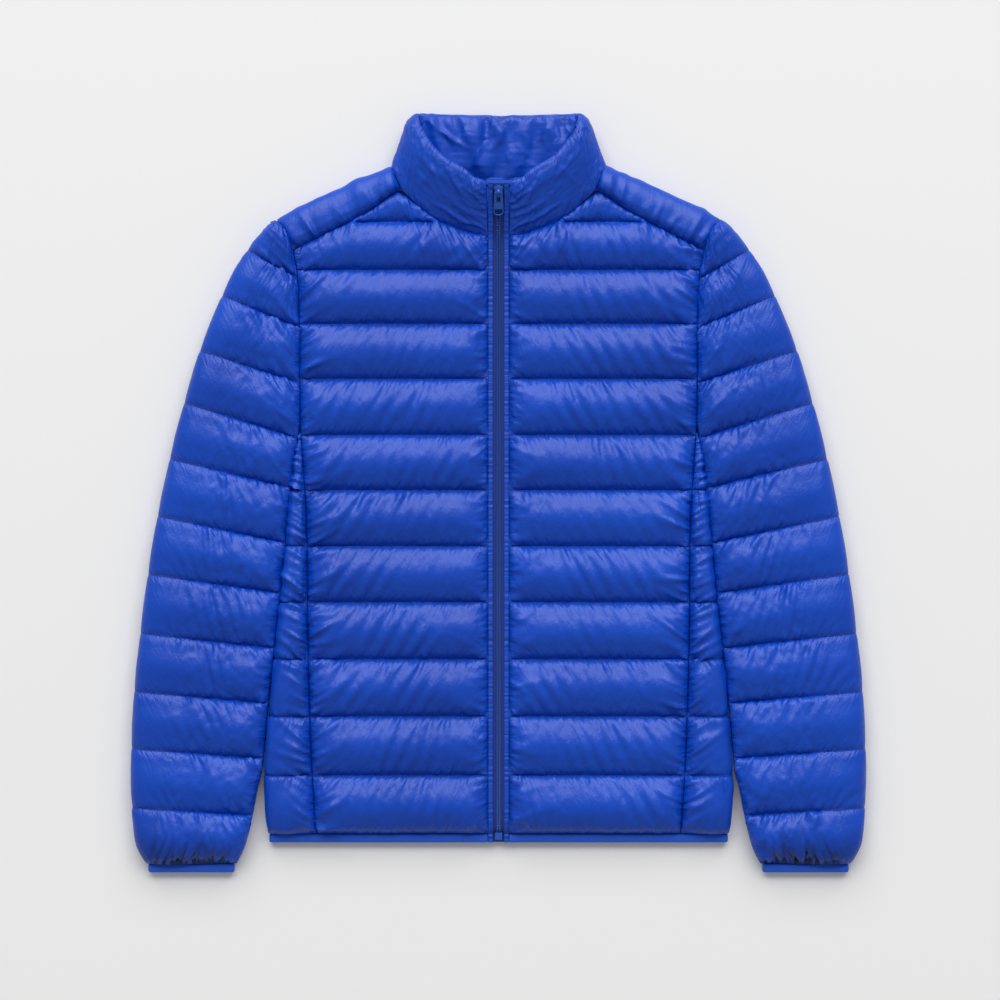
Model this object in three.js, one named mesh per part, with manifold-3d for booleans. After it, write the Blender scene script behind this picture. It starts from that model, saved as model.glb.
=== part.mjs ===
// A quilted down jacket laid flat on its back with its zip closed.
// Millimetres. X runs to the viewer's right, Y towards the collar and Z up from the surface it lies on.
// Left and right are the wearer's, so the left half lies at +X. The front layer lies on the back layer.
import * as THREE from "three";
import { mergeVertices } from "three/addons/utils/BufferGeometryUtils.js";
import Module from "manifold-3d";

// Driving dimensions. Heights "up" are above the hem's edge, and "out" is from the centre line.
const COLLAR_TOP = 730;
const CUFF_EDGE = -30;
const GAP = 0.3;
const SEAM_GAP = 0.5;
const LOWER_WALL = 11;
const BOUND_EDGE = 4.3;
const STITCHED = 4;
const LOFT = 15;
const BINDING_HEIGHT = 8.5;
const ZIP_HALF = 10.5;
const ZIP_TOP = 657;
const NECK_BASE = 606;
const COLLAR_SLOPE = THREE.MathUtils.degToRad(24);

// Lines of quilting across the body, from the hem binding up to the yoke.
const BODY_QUILTING = [9, 68, 127, 184, 241, 297, 353, 408, 464, 519, 573, 621, 652];

// Lines of quilting across a sleeve, from its shoulder point to its cuff: where each one meets the outer fold
// and the inner edge.
const SLEEVE_QUILTING = [
  { outerUp: 620.5, innerUp: 618.5 },
  { outerUp: 593, innerUp: 564 },
  { outerUp: 547, innerUp: 515 },
  { outerUp: 492, innerUp: 460 },
  { outerUp: 440, innerUp: 405 },
  { outerUp: 384, innerUp: 355 },
  { outerUp: 327, innerUp: 300 },
  { outerUp: 269, innerUp: 250 },
  { outerUp: 210, innerUp: 195 },
  { outerUp: 152, innerUp: 140 },
  { outerUp: 95, innerUp: 85 },
  { outerUp: 36, innerUp: 28 },
  { outerUp: -21, innerUp: -21 },
];

// The front's outer edge: the side seam, then the armhole seam up to the shoulder point.
const SIDE_SEAM = [
  { up: 9, out: 182 },
  { up: 68, out: 186 },
  { up: 127, out: 188.5 },
  { up: 203, out: 190.5 },
  { up: 269, out: 191 },
  { up: 325, out: 192 },
  { up: 381, out: 195.5 },
  { up: 423, out: 198 },
  { up: 518, out: 199 },
  { up: 567, out: 201 },
  { up: 591, out: 205 },
  { up: 602, out: 208 },
  { up: 612, out: 213 },
  { up: 622, out: 221.5 },
];
// The body's fold at the side, from the hem to the underarm.
const SIDE_FOLD = [
  { up: 9, out: 230.5 },
  { up: 25, out: 232.8 },
  { up: 53, out: 234.2 },
  { up: 73, out: 234.4 },
  { up: 98, out: 232.4 },
  { up: 136, out: 229.2 },
  { up: 188, out: 224.1 },
  { up: 255, out: 216.6 },
  { up: 302, out: 212.3 },
  { up: 353, out: 207.1 },
  { up: 393, out: 202.4 },
  { up: 410, out: 199.4 },
];
// The sleeve's inner edge below the underarm, and its outer fold all the way.
const SLEEVE_INNER = [
  { up: -21, out: 262.3 },
  { up: -17, out: 260 },
  { up: -3, out: 253.5 },
  { up: 25, out: 246.5 },
  { up: 53, out: 241 },
  { up: 73, out: 236.4 },
  { up: 98, out: 233.8 },
  { up: 136, out: 230.6 },
  { up: 188, out: 225.5 },
  { up: 255, out: 218 },
  { up: 302, out: 213.7 },
  { up: 353, out: 208.5 },
  { up: 393, out: 203.8 },
  { up: 410, out: 200.6 },
  { up: 423, out: 198.5 },
];
const SLEEVE_OUTER = [
  { up: -21, out: 352.8 },
  { up: -17, out: 355.5 },
  { up: -3, out: 362 },
  { up: 11, out: 364.5 },
  { up: 39, out: 366.7 },
  { up: 80, out: 367.5 },
  { up: 151, out: 364.5 },
  { up: 207, out: 358.6 },
  { up: 263, out: 351.5 },
  { up: 319, out: 342.5 },
  { up: 375, out: 331 },
  { up: 431, out: 317 },
  { up: 487, out: 300.5 },
  { up: 529, out: 284.5 },
  { up: 571, out: 265 },
  { up: 595, out: 249.5 },
  { up: 611, out: 236.5 },
  { up: 621.5, out: 224.5 },
];
const UNDERARM = 423;

// The yoke crosses the shoulder from the neck to the armhole: its front seam and the fold on top of the shoulder.
const YOKE = [
  { frontOut: 102.5, frontUp: 651, foldOut: 109, foldUp: 676 },
  { frontOut: 125, frontUp: 635, foldOut: 133.5, foldUp: 667 },
  { frontOut: 148, frontUp: 622, foldOut: 161, foldUp: 655 },
  { frontOut: 173, frontUp: 609, foldOut: 187.5, foldUp: 643 },
  { frontOut: 191, frontUp: 600, foldOut: 206, foldUp: 634 },
  { frontOut: 205.5, frontUp: 592.5, foldOut: 220, foldUp: 623.5 },
];
// Where the yoke's back seam lies between its fold and its front seam.
const YOKE_BACK_SHARE = 0.5;

// The neck seam of the front, from the zip to the yoke.
const NECK_SEAM = [
  { up: 606, out: 10.5 },
  { up: 608, out: 22 },
  { up: 611, out: 33 },
  { up: 616, out: 46 },
  { up: 622, out: 60 },
  { up: 632, out: 74 },
  { up: 643, out: 88 },
  { up: 649, out: 97 },
];

// The collar from the centre back round its side fold to the zip, at the middle of its wall. "base" is its sewn
// edge and "top" its free edge.
const COLLAR = [
  { baseOut: 0, baseUp: 659.8, baseZ: 5.5, baseThick: 11, topOut: 0, topUp: 727, topZ: 6, thick: 12 },
  { baseOut: 50, baseUp: 659.8, baseZ: 5.5, baseThick: 11, topOut: 42, topUp: 728, topZ: 6, thick: 12 },
  { baseOut: 88, baseUp: 660.5, baseZ: 5.5, baseThick: 11, topOut: 72, topUp: 729.5, topZ: 6, thick: 12 },
  { baseOut: 97, baseUp: 666, baseZ: 7.5, baseThick: 11, topOut: 80, topUp: 730, topZ: 8.3, thick: 12 },
  { baseOut: 100.5, baseUp: 672, baseZ: 13, baseThick: 11, topOut: 82.5, topUp: 730, topZ: 14, thick: 12 },
  { baseOut: 98, baseUp: 667, baseZ: 18.5, baseThick: 9, topOut: 82, topUp: 729, topZ: 20, thick: 12 },
  { baseOut: 94.5, baseUp: 655, baseZ: 18, baseThick: 7, topOut: 79, topUp: 721, topZ: 26, thick: 13 },
  { baseOut: 86, baseUp: 645.3, baseZ: 16.2, baseThick: 5, topOut: 72, topUp: 710, topZ: 30, thick: 14 },
  { baseOut: 60, baseUp: 625, baseZ: 14.8, baseThick: 4.6, topOut: 52, topUp: 692, topZ: 35, thick: 14 },
  { baseOut: 33, baseUp: 613.6, baseZ: 14.4, baseThick: 4.6, topOut: 28, topUp: 672, topZ: 38, thick: 14 },
  { baseOut: 11, baseUp: 608.6, baseZ: 14.4, baseThick: 4.6, topOut: 11, topUp: 657.5, topZ: 37, thick: 11 },
];
const COLLAR_STEPS = 4;

// Zip, in its own plane: widths out from the centre line and heights above the plain inside of the front layer.
const TAPE = { from: 0.15, to: 10.2, low: 0, high: 1 };
const CHAIN = { from: 0.15, to: 2.75, low: 1.3, high: 3.1 };
const PLACKET = { from: 5.4, to: 10.2, low: 1.3, high: 4.2 };
const ZIP_BOX = { half: 3.6, from: 2.5, to: 10, low: 1.3, high: 4.3 };
const NECK_TAPE = { half: 74, from: 658.6, to: 665.4, low: 12.4, high: 13.4 };
const SLIDER = {
  middleUp: 650.5,
  length: 11,
  halfTop: 4.4,
  halfBottom: 3.4,
  underside: 3.4,
  plate: 1.5,
  flange: 0.8,
  flangeLow: 1.4,
};
const BRIDGE = { half: 1.1, reach: 3.2, height: 3.5, wall: 1.1 };
const PULL = { length: 25, halfTop: 4.1, halfEnd: 5.3, thick: 1.5, bar: 0.7, windowHalf: 1.9, windowEnd: 10.5 };
const PULL_SLOT = { half: 3.5, from: 19.4, to: 22.6 };
const PIVOT_ABOVE_PLATE = 1.2;
const PULL_DROOP = THREE.MathUtils.degToRad(4);

// Where the rows of a section fall in each quilted channel, as shares of the channel.
const CHANNEL_ROWS = [0, 0.1, 0.35, 0.65, 0.9];
// The share of its full thickness that the lower layer has at the first rows above a bound edge.
const EDGE_TAPER = [0, 0.62, 0.95];

const nylon = () => new THREE.MeshStandardMaterial({ color: 0x2a50c0, roughness: 0.42, metalness: 0 });
const binding = () => new THREE.MeshStandardMaterial({ color: 0x214aa8, roughness: 0.55, metalness: 0 });
const zipTape = () => new THREE.MeshStandardMaterial({ color: 0x16357f, roughness: 0.8, metalness: 0 });
const zipChain = () => new THREE.MeshStandardMaterial({ color: 0x1b3c8c, roughness: 0.45, metalness: 0 });
const zipMetal = () => new THREE.MeshStandardMaterial({ color: 0x2c4fa0, roughness: 0.35, metalness: 0.3 });

const mix = (a, b, share) => a + (b - a) * share;

// A smooth curve through a table's rows: the value of one column at any value of another, which rises or falls
// steadily through the table.
function through(table, from = "up", to = "out") {
  const rows = table[0][from] < table.at(-1)[from] ? table : [...table].reverse();
  const slope = (i) => {
    const [a, b] = [rows[Math.max(i - 1, 0)], rows[Math.min(i + 1, rows.length - 1)]];
    return (b[to] - a[to]) / (b[from] - a[from]);
  };
  return (wanted) => {
    const value = THREE.MathUtils.clamp(wanted, rows[0][from], rows.at(-1)[from]);
    const i = rows.findIndex((row, k) => k > 0 && value <= row[from]);
    const [a, b] = [rows[i - 1], rows[i]];
    const span = b[from] - a[from];
    const t = (value - a[from]) / span;
    const bend = t * (1 - t) * span;
    const straight = mix(a[to], b[to], t * t * (3 - 2 * t));
    return straight + bend * ((1 - t) * slope(i - 1) - t * slope(i));
  };
}

// The round of a quilted channel: nothing at its stitches and one at its crown.
const puff = (share) => Math.sqrt(Math.max(0, 1 - (2 * share - 1) ** 2));

// The rows of a quilted piece, channel by channel: the share of the way between two lines, and the roundness there.
function quiltedRows(lines) {
  const rows = [];
  for (let channel = 0; channel + 1 < lines; channel++)
    for (const share of CHANNEL_ROWS) rows.push({ channel, share, round: puff(share) });
  rows.push({ channel: lines - 2, share: 1, round: 0 });
  return rows;
}

// The top of the lower layer. It thins towards a bound edge, over the first rows of the channel beside it.
function lowerTop(rowsFromEdge) {
  const share = rowsFromEdge < EDGE_TAPER.length ? EDGE_TAPER[rowsFromEdge] : 1;
  return mix(BOUND_EDGE, LOWER_WALL, share);
}

// A closed solid through sections. Each has an outline of [across, height] points, in the same order, and a
// function that places such a point in space.
function loft(sections) {
  const count = sections[0].outline.length;
  const positions = sections.flatMap(({ outline, place }) => outline.flatMap(([across, z]) => place(across, z)));
  const index = [];
  for (let row = 0; row + 1 < sections.length; row++)
    for (let i = 0; i < count; i++) {
      const a = row * count + i;
      const b = row * count + ((i + 1) % count);
      index.push(a, b, b + count, a, b + count, a + count);
    }
  for (const row of [0, sections.length - 1]) {
    const flat = sections[row].outline.map(([across, z]) => new THREE.Vector2(across, z));
    const turn = THREE.ShapeUtils.area(flat) > 0 === (row === 0);
    for (const [a, b, c] of THREE.ShapeUtils.triangulateShape(flat, [])) {
      const left = THREE.ShapeUtils.area([flat[a], flat[b], flat[c]]) > 0;
      const face = left === turn ? [a, c, b] : [a, b, c];
      index.push(...face.map((k) => k + row * count));
    }
  }
  return closedGeometry(positions, index);
}

// A geometry with its faces turned outwards.
function closedGeometry(positions, index) {
  const corner = (k) => new THREE.Vector3().fromArray(positions, 3 * k);
  let volume = 0;
  for (let i = 0; i < index.length; i += 3)
    volume += corner(index[i]).dot(corner(index[i + 1]).cross(corner(index[i + 2])));
  if (volume < 0) for (let i = 0; i < index.length; i += 3) [index[i], index[i + 1]] = [index[i + 1], index[i]];
  const geometry = new THREE.BufferGeometry();
  geometry.setAttribute("position", new THREE.Float32BufferAttribute(positions, 3));
  geometry.setIndex(index);
  return geometry;
}

function mirrored(geometry) {
  const { array } = geometry.attributes.position;
  const positions = Array.from(array, (value, i) => (i % 3 === 0 ? -value : value));
  return closedGeometry(positions, Array.from(geometry.index.array));
}

const atHeight = (up) => (across, z) => [across, up, z];
const sideSeam = through(SIDE_SEAM);
const sideFold = through(SIDE_FOLD);
const neckSeam = through(NECK_SEAM);
const yokeSeam = through(YOKE, "frontUp", "frontOut");

// Rows across the body from the hem up, with the height of each.
const bodyRows = quiltedRows(BODY_QUILTING.length).map((row, k) => ({
  ...row,
  up: mix(BODY_QUILTING[row.channel], BODY_QUILTING[row.channel + 1], row.share),
  lower: lowerTop(k),
}));

// A front lies between the zip, the neck seam, the yoke and the side seam.
const frontInner = (up) => (up <= NECK_BASE ? ZIP_HALF : neckSeam(up));
const frontOuter = (up) => (up < YOKE.at(-1).frontUp ? sideSeam(up) : yokeSeam(up)) - SEAM_GAP;

function frontSection({ up, round, lower }) {
  const [inner, outer] = [frontInner(up), frontOuter(up)];
  const scale = Math.min(1, (outer - inner) / 60);
  const plane = lower + GAP;
  const [edge, rise] = [plane + STITCHED, LOFT * round * Math.min(1, scale * 1.6)];
  const half = (outer - inner) / 2;
  const steps = [
    { into: 0, share: 0 },
    { into: 5 * scale, share: 0.6 },
    { into: 14 * scale, share: 0.93 },
    { into: mix(14 * scale, half, 0.5), share: 1 },
  ];
  const near = steps.map(({ into, share }) => [inner + into, edge + rise * share]);
  const far = steps.map(({ into, share }) => [outer - into, edge + rise * share]).reverse();
  return { outline: [[inner, plane], ...near, ...far, [outer, plane]], place: atHeight(up) };
}

function front() {
  const top = YOKE[0].frontUp - 3.5;
  const neckRows = NECK_SEAM.slice(0, 4).map(({ up }) => {
    const channel = BODY_QUILTING.findIndex((line) => line > up) - 1;
    const share = (up - BODY_QUILTING[channel]) / (BODY_QUILTING[channel + 1] - BODY_QUILTING[channel]);
    return { up, round: puff(share), lower: LOWER_WALL };
  });
  const last = { up: top, round: 0.3, lower: LOWER_WALL };
  const rows = [...bodyRows.filter(({ up }) => up < top - 2), ...neckRows, last].sort((a, b) => a.up - b.up);
  return loft(rows.filter((row, k) => k === 0 || row.up - rows[k - 1].up > 0.5).map(frontSection));
}

// The outline of a wall that folds over an edge: it starts at a seam, swells, goes round the fold and comes back
// flat underneath. "lowerStart" is where its lower half ends, "lip" the thickness of its upper half at the seam,
// and "heel" the height to which its lower half rounds up at its end.
function foldedOutline({ width, round, lower, lowerStart = 0, lip = STITCHED, heel = 0 }) {
  const scale = Math.min(1, width / 60);
  const plane = lower + GAP;
  const top = plane + STITCHED + LOFT * round * Math.min(1, scale * 1.6);
  const middle = 0.45 * top;
  const [shoulder, foot, wall] = [24 * scale, 14 * scale, 10 * scale];
  const arc = (along) => Math.sqrt(1 - along * along);
  const swell = (into, share) => [into, mix(plane + lip, top, share)];
  const heelRun = Math.max(0.5, heel) * scale;
  return [
    [0, plane],
    swell(0, 0),
    swell(5 * scale, 0.6),
    swell(14 * scale, 0.93),
    swell(width / 2 - 4 * scale, 1),
    ...[0, 0.6, 0.9].map((along) => [width - shoulder * (1 - along), mix(middle, top, arc(along))]),
    [width, middle],
    ...[0.8, 0.4, 0].map((along) => [width - foot * (1 - along), middle * (1 - arc(along))]),
    [lowerStart + heelRun, 0],
    [lowerStart, heel],
    [lowerStart, lower],
    [width - wall, lower],
    [width - wall, plane],
    [0.6 * (width - wall), plane],
    [0.3 * (width - wall), plane],
  ];
}

// The notch that a line of quilting draws into a fold.
const FOLD_NOTCH = 1.6;
const notch = (round) => FOLD_NOTCH * (1 - round);

// A side panel runs from the side seam round the fold, and ends half way back underneath.
const sideWidth = (up, round) => sideFold(up) - sideSeam(up) - notch(round) * Math.min(1, (400 - up) / 100);
const sideBack = (up) => mix(sideSeam(up), sideFold(up), 0.5);
const SIDE_TOP = 396;

function sidePanel() {
  const rows = bodyRows.filter(({ up }) => up < SIDE_TOP - 2);
  rows.push({ up: SIDE_TOP, round: 0.2, lower: LOWER_WALL });
  return loft(
    rows.map(({ up, round, lower }) => ({
      outline: foldedOutline({
        width: sideWidth(up, round),
        round,
        lower,
        lowerStart: sideBack(up) - sideSeam(up),
      }),
      place: (across, z) => [sideSeam(up) + across, up, z],
    })),
  );
}

// A yoke goes over the shoulder's fold, from the front seam to a seam underneath.
const YOKE_STEPS = 9;
const yokeColumn = Object.fromEntries(
  ["frontOut", "frontUp", "foldOut", "foldUp"].map((name) => {
    const rows = YOKE.map((row, k) => ({ along: k / (YOKE.length - 1), value: row[name] }));
    return [name, through(rows, "along", "value")];
  }),
);

// A point of the yoke: "along" runs from the neck to the armhole and "over" from the front seam to the fold.
function yokePoint(along, over) {
  const { frontOut, frontUp, foldOut, foldUp } = yokeColumn;
  return {
    out: mix(frontOut(along), foldOut(along), over),
    up: mix(frontUp(along), foldUp(along), over),
  };
}

function yoke() {
  const sections = [];
  for (let step = 0; step <= YOKE_STEPS; step++) {
    const along = step / YOKE_STEPS;
    const [seam, fold] = [yokePoint(along, 0), yokePoint(along, 1)];
    const width = Math.hypot(fold.out - seam.out, fold.up - seam.up);
    const round = 0.35 + 0.6 * puff(mix(0.06, 0.94, along));
    const lowerStart = width * YOKE_BACK_SHARE;
    sections.push({
      outline: foldedOutline({ width, round, lower: LOWER_WALL, lowerStart }),
      place: (across, z) => {
        const { out, up } = yokePoint(along, across / width);
        return [Math.min(out, sideSeam(up) - SEAM_GAP), up, z];
      },
    });
  }
  return loft(sections);
}

// The back is plain and lies flat. Its edges are the side panels' back seams, the armholes, the yokes and the neck.
const BACK_TOP = 659;
const yokeBackRows = YOKE.map((row, k) => yokePoint(k / (YOKE.length - 1), YOKE_BACK_SHARE));
const yokeBack = through(yokeBackRows);
const BACK_SHOULDER = yokeBackRows.at(-1).up;

function backEdge(up) {
  if (up < SIDE_TOP) return sideBack(up) - SEAM_GAP;
  if (up < BACK_SHOULDER - 1.3) return sideSeam(up) - SEAM_GAP;
  return Math.min(sideSeam(up) - SEAM_GAP, yokeBack(up + 1.3) - SEAM_GAP);
}

function back() {
  const rows = bodyRows.filter(({ up }) => up < SIDE_TOP || up < BACK_TOP - 3);
  const extra = [SIDE_TOP, SIDE_TOP + 3, 600, BACK_SHOULDER - 1, BACK_SHOULDER + 0.2, BACK_TOP];
  const all = [...rows, ...extra.map((up) => ({ up, lower: LOWER_WALL }))].sort((a, b) => a.up - b.up);
  return loft(
    all.map(({ up, lower }) => {
      const edge = backEdge(up);
      const outline = [[-edge, 0], [edge, 0], [edge, lower], [-edge, lower]];
      return { outline, place: atHeight(up) };
    }),
  );
}

// A sleeve is one piece folded along its outer edge, with its two edges together along the underarm.
const sleeveOuter = through(SLEEVE_OUTER);
const sleeveLower = through(SLEEVE_INNER);
const sleeveInner = (up) => (up > UNDERARM ? sideSeam(up) + SEAM_GAP : sleeveLower(up));

function sleeve() {
  const rows = quiltedRows(SLEEVE_QUILTING.length);
  const sections = rows.map(({ channel, share, round }, k) => {
    const [before, after] = [SLEEVE_QUILTING[channel], SLEEVE_QUILTING[channel + 1]];
    const outerUp = mix(before.outerUp, after.outerUp, share);
    const innerUp = mix(before.innerUp, after.innerUp, share);
    const inner = { out: sleeveInner(innerUp), up: innerUp };
    const outer = { out: sleeveOuter(outerUp), up: outerUp };
    const whole = Math.hypot(outer.out - inner.out, outer.up - inner.up);
    const sewn = THREE.MathUtils.smoothstep(UNDERARM - innerUp, -2, 22);
    const outline = foldedOutline({
      width: whole - notch(round) * Math.min(1, whole / 60),
      round,
      lower: lowerTop(rows.length - 1 - k),
      lip: mix(STITCHED, 1.5, sewn),
      heel: mix(0, 0.7, sewn) * lowerTop(rows.length - 1 - k),
    });
    const place = (across, z) => [
      mix(inner.out, outer.out, across / whole),
      mix(inner.up, outer.up, across / whole),
      z,
    ];
    return { outline, place };
  });
  return loft(sections);
}

// The collar is a padded band, thin at its seam and rolled at its free edge.
function collarRow(along) {
  const row = {};
  for (const name of Object.keys(COLLAR[0])) {
    const column = COLLAR.map((values, k) => ({ along: k, value: values[name] }));
    row[name] = through(column, "along", "value")(along);
  }
  return row;
}

function collarSections() {
  const last = (COLLAR.length - 1) * COLLAR_STEPS;
  const half = Array.from({ length: last + 1 }, (_, k) => collarRow(k / COLLAR_STEPS));
  const flip = (row) => ({ ...row, baseOut: -row.baseOut, topOut: -row.topOut });
  const ring = [...half.slice(1).reverse().map(flip), ...half];
  const base = ring.map((row) => new THREE.Vector3(row.baseOut, row.baseUp, row.baseZ));
  const top = ring.map((row) => new THREE.Vector3(row.topOut, row.topUp, row.topZ));
  const middle = base.map((point, k) => point.clone().lerp(top[k], 0.5));
  return ring.map(({ baseThick, thick }, k) => {
    const rise = top[k].clone().sub(base[k]);
    const [before, after] = [middle[Math.max(k - 1, 0)], middle[Math.min(k + 1, ring.length - 1)]];
    const inwards = after.clone().sub(before).cross(rise).normalize();
    const height = rise.length();
    const half = [
      [0, baseThick / 2],
      [9 / height, mix(baseThick, thick, 0.72) / 2],
      [0.34, thick / 2],
      [0.68, thick / 2],
      [1 - (0.5 * thick) / height, thick / 2],
      [1 - (0.16 * thick) / height, 0.38 * thick],
    ];
    const far = [...half].reverse().map(([along, offset]) => [along, -offset]);
    const outline = [...half, [1, 0], ...far];
    const place = (along, offset) => {
      const point = base[k].clone().addScaledVector(rise, along).addScaledVector(inwards, offset);
      return [point.x, point.y, point.z < 0.4 ? 0 : point.z];
    };
    return { outline: outline.map(([along, offset]) => [along, offset]), place };
  });
}

// A flattened band of binding, as an outline of [out, z] points: round at its folds.
function bandOutline(left, right, low, high) {
  const radius = (high - low) / 2;
  const shape = new THREE.Shape();
  shape.moveTo(left + radius, low);
  shape.lineTo(right - radius, low);
  shape.absarc(right - radius, low + radius, radius, -Math.PI / 2, Math.PI / 2);
  shape.lineTo(left + radius, high);
  shape.absarc(left + radius, low + radius, radius, Math.PI / 2, 1.5 * Math.PI);
  return shape;
}

// Extrudes an outline in X and Z along Y, from one height up to another.
function alongY(shape, fromUp, toUp) {
  const geometry = new THREE.ExtrudeGeometry(shape, { depth: toUp - fromUp, bevelEnabled: false, curveSegments: 5 });
  return geometry.rotateX(Math.PI / 2).translate(0, toUp, 0);
}

const BAND_THICK = 2 * BOUND_EDGE + GAP;

function hemBinding() {
  const half = SIDE_FOLD[0].out - 0.5;
  const shape = bandOutline(-half, half, 0, BAND_THICK);
  const slit = bandOutline(BOUND_EDGE - half, half - BOUND_EDGE, BOUND_EDGE, BOUND_EDGE + GAP);
  shape.holes.push(slit);
  const whole = toSolid(alongY(shape, 0, BINDING_HEIGHT));
  const opening = new THREE.BoxGeometry(2 * ZIP_HALF, 3 * BINDING_HEIGHT, BAND_THICK);
  const cut = toSolid(opening.translate(0, 0, BAND_THICK / 2 + BOUND_EDGE + GAP / 2));
  return fromSolid(whole.subtract(cut));
}

function cuffBinding() {
  const [left, right] = [264.3, 351.3];
  const shape = bandOutline(left, right, 0, BAND_THICK);
  shape.holes.push(bandOutline(left + BOUND_EDGE, right - BOUND_EDGE, BOUND_EDGE, BOUND_EDGE + GAP));
  return alongY(shape, CUFF_EDGE, CUFF_EDGE + BINDING_HEIGHT);
}

// The zip rises with the front of the collar: level up to the neck seam, then at the collar's slope.
const zipRise = (up) => {
  const past = up - NECK_BASE;
  return (Math.tan(COLLAR_SLOPE) * (past + Math.hypot(past, 5))) / 2;
};
const zipRows = [
  { up: 0, lower: BOUND_EDGE },
  ...bodyRows.slice(0, 5).map(({ up, lower }) => ({ up, lower })),
  ...[300, 580, 594, 600, 604, 608, 613, 620, ZIP_TOP].map((up) => ({ up, lower: LOWER_WALL })),
];

// A strip of the zip between two heights, at +X.
function zipStrip({ from, to, low, high }, fromUp, toUp) {
  const inside = zipRows.filter(({ up }) => up > fromUp && up < toUp);
  const ends = [fromUp, toUp].map((up) => ({ up, lower: up < 9.1 ? BOUND_EDGE : null }));
  const rows = [ends[0], ...inside, ends[1]].map(({ up, lower }) => ({ up, lower: lower ?? zipLower(up) }));
  return loft(
    rows.map(({ up, lower }) => {
      const plane = lower + GAP + (up > 560 ? zipRise(up) : 0);
      const outline = [[from, plane + low], [to, plane + low], [to, plane + high], [from, plane + high]];
      return { outline, place: atHeight(up) };
    }),
  );
}

// The top of the lower layer under the zip, between the rows that the body has.
function zipLower(up) {
  const k = Math.max(1, zipRows.findIndex((row) => row.up >= up));
  const [a, b] = [zipRows[k - 1], zipRows[k]];
  return mix(a.lower, b.lower, (up - a.up) / (b.up - a.up));
}

function zipBox() {
  const { half, from, to, low, high } = ZIP_BOX;
  const corner = 1.2;
  const shape = new THREE.Shape();
  shape.moveTo(-half + corner, from);
  shape.lineTo(half - corner, from);
  shape.absarc(half - corner, from + corner, corner, -Math.PI / 2, 0);
  shape.lineTo(half, to);
  shape.lineTo(-half, to);
  shape.absarc(-half + corner, from + corner, corner, Math.PI, 1.5 * Math.PI);
  const plane = zipLower(to) + GAP;
  return new THREE.ExtrudeGeometry(shape, { depth: high - low, bevelEnabled: false, curveSegments: 3 })
    .translate(0, 0, plane + low);
}

function neckTape() {
  const { half, from, to, low, high } = NECK_TAPE;
  return new THREE.BoxGeometry(2 * half, to - from, high - low).translate(0, (from + to) / 2, (low + high) / 2);
}

// Solids that are joined or cut.
const manifold = await Module();
manifold.setup();

function toSolid(geometry) {
  const bare = geometry.clone();
  bare.deleteAttribute("normal");
  bare.deleteAttribute("uv");
  const merged = mergeVertices(bare, 1e-4);
  return new manifold.Manifold(
    new manifold.Mesh({
      numProp: 3,
      vertProperties: merged.attributes.position.array,
      triVerts: new Uint32Array(merged.index.array),
    }),
  );
}

function fromSolid(solid) {
  const { vertProperties, triVerts } = solid.getMesh();
  return closedGeometry(Array.from(vertProperties), Array.from(triVerts));
}

// The slider's cap straddles the chain. Its own frame has Y along the zip and Z out of it, from the tape's underside.
function slider() {
  const { length, halfTop, halfBottom, underside, plate, flange, flangeLow } = SLIDER;
  const half = length / 2;
  const cap = (low, high) => {
    const shape = new THREE.Shape();
    shape.moveTo(-halfBottom, -half);
    shape.lineTo(halfBottom, -half);
    shape.quadraticCurveTo(halfBottom, 0, halfTop, 0.35 * length);
    shape.quadraticCurveTo(halfTop, half, 0.5 * halfTop, half);
    shape.lineTo(-0.5 * halfTop, half);
    shape.quadraticCurveTo(-halfTop, half, -halfTop, 0.35 * length);
    shape.quadraticCurveTo(-halfBottom, 0, -halfBottom, -half);
    return new THREE.ExtrudeGeometry(shape, { depth: high - low, bevelEnabled: false, curveSegments: 5 })
      .translate(0, 0, low);
  };
  const plateTop = underside + plate;
  const hollow = new THREE.BoxGeometry(2 * (halfBottom - flange) + 0.6, 2 * length, 2 * (underside - flangeLow));
  const body = toSolid(cap(flangeLow, plateTop)).subtract(toSolid(hollow.translate(0, 0, flangeLow)));
  const arch = new THREE.Shape();
  arch.moveTo(-BRIDGE.reach, -0.5);
  arch.lineTo(BRIDGE.reach, -0.5);
  arch.quadraticCurveTo(BRIDGE.reach, BRIDGE.height, 0, BRIDGE.height);
  arch.quadraticCurveTo(-BRIDGE.reach, BRIDGE.height, -BRIDGE.reach, -0.5);
  const tunnel = new THREE.Path();
  const inside = BRIDGE.reach - BRIDGE.wall;
  const roof = BRIDGE.height - BRIDGE.wall;
  tunnel.moveTo(-inside, 0);
  tunnel.lineTo(inside, 0);
  tunnel.quadraticCurveTo(inside, roof, 0, roof);
  tunnel.quadraticCurveTo(-inside, roof, -inside, 0);
  arch.holes.push(tunnel);
  const bridge = new THREE.ExtrudeGeometry(arch, { depth: 2 * BRIDGE.half, bevelEnabled: false, curveSegments: 5 })
    .translate(0, 0, -BRIDGE.half)
    .rotateX(Math.PI / 2)
    .rotateZ(Math.PI / 2)
    .translate(0, 0, plateTop);
  return fromSolid(body.add(toSolid(bridge)));
}

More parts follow.
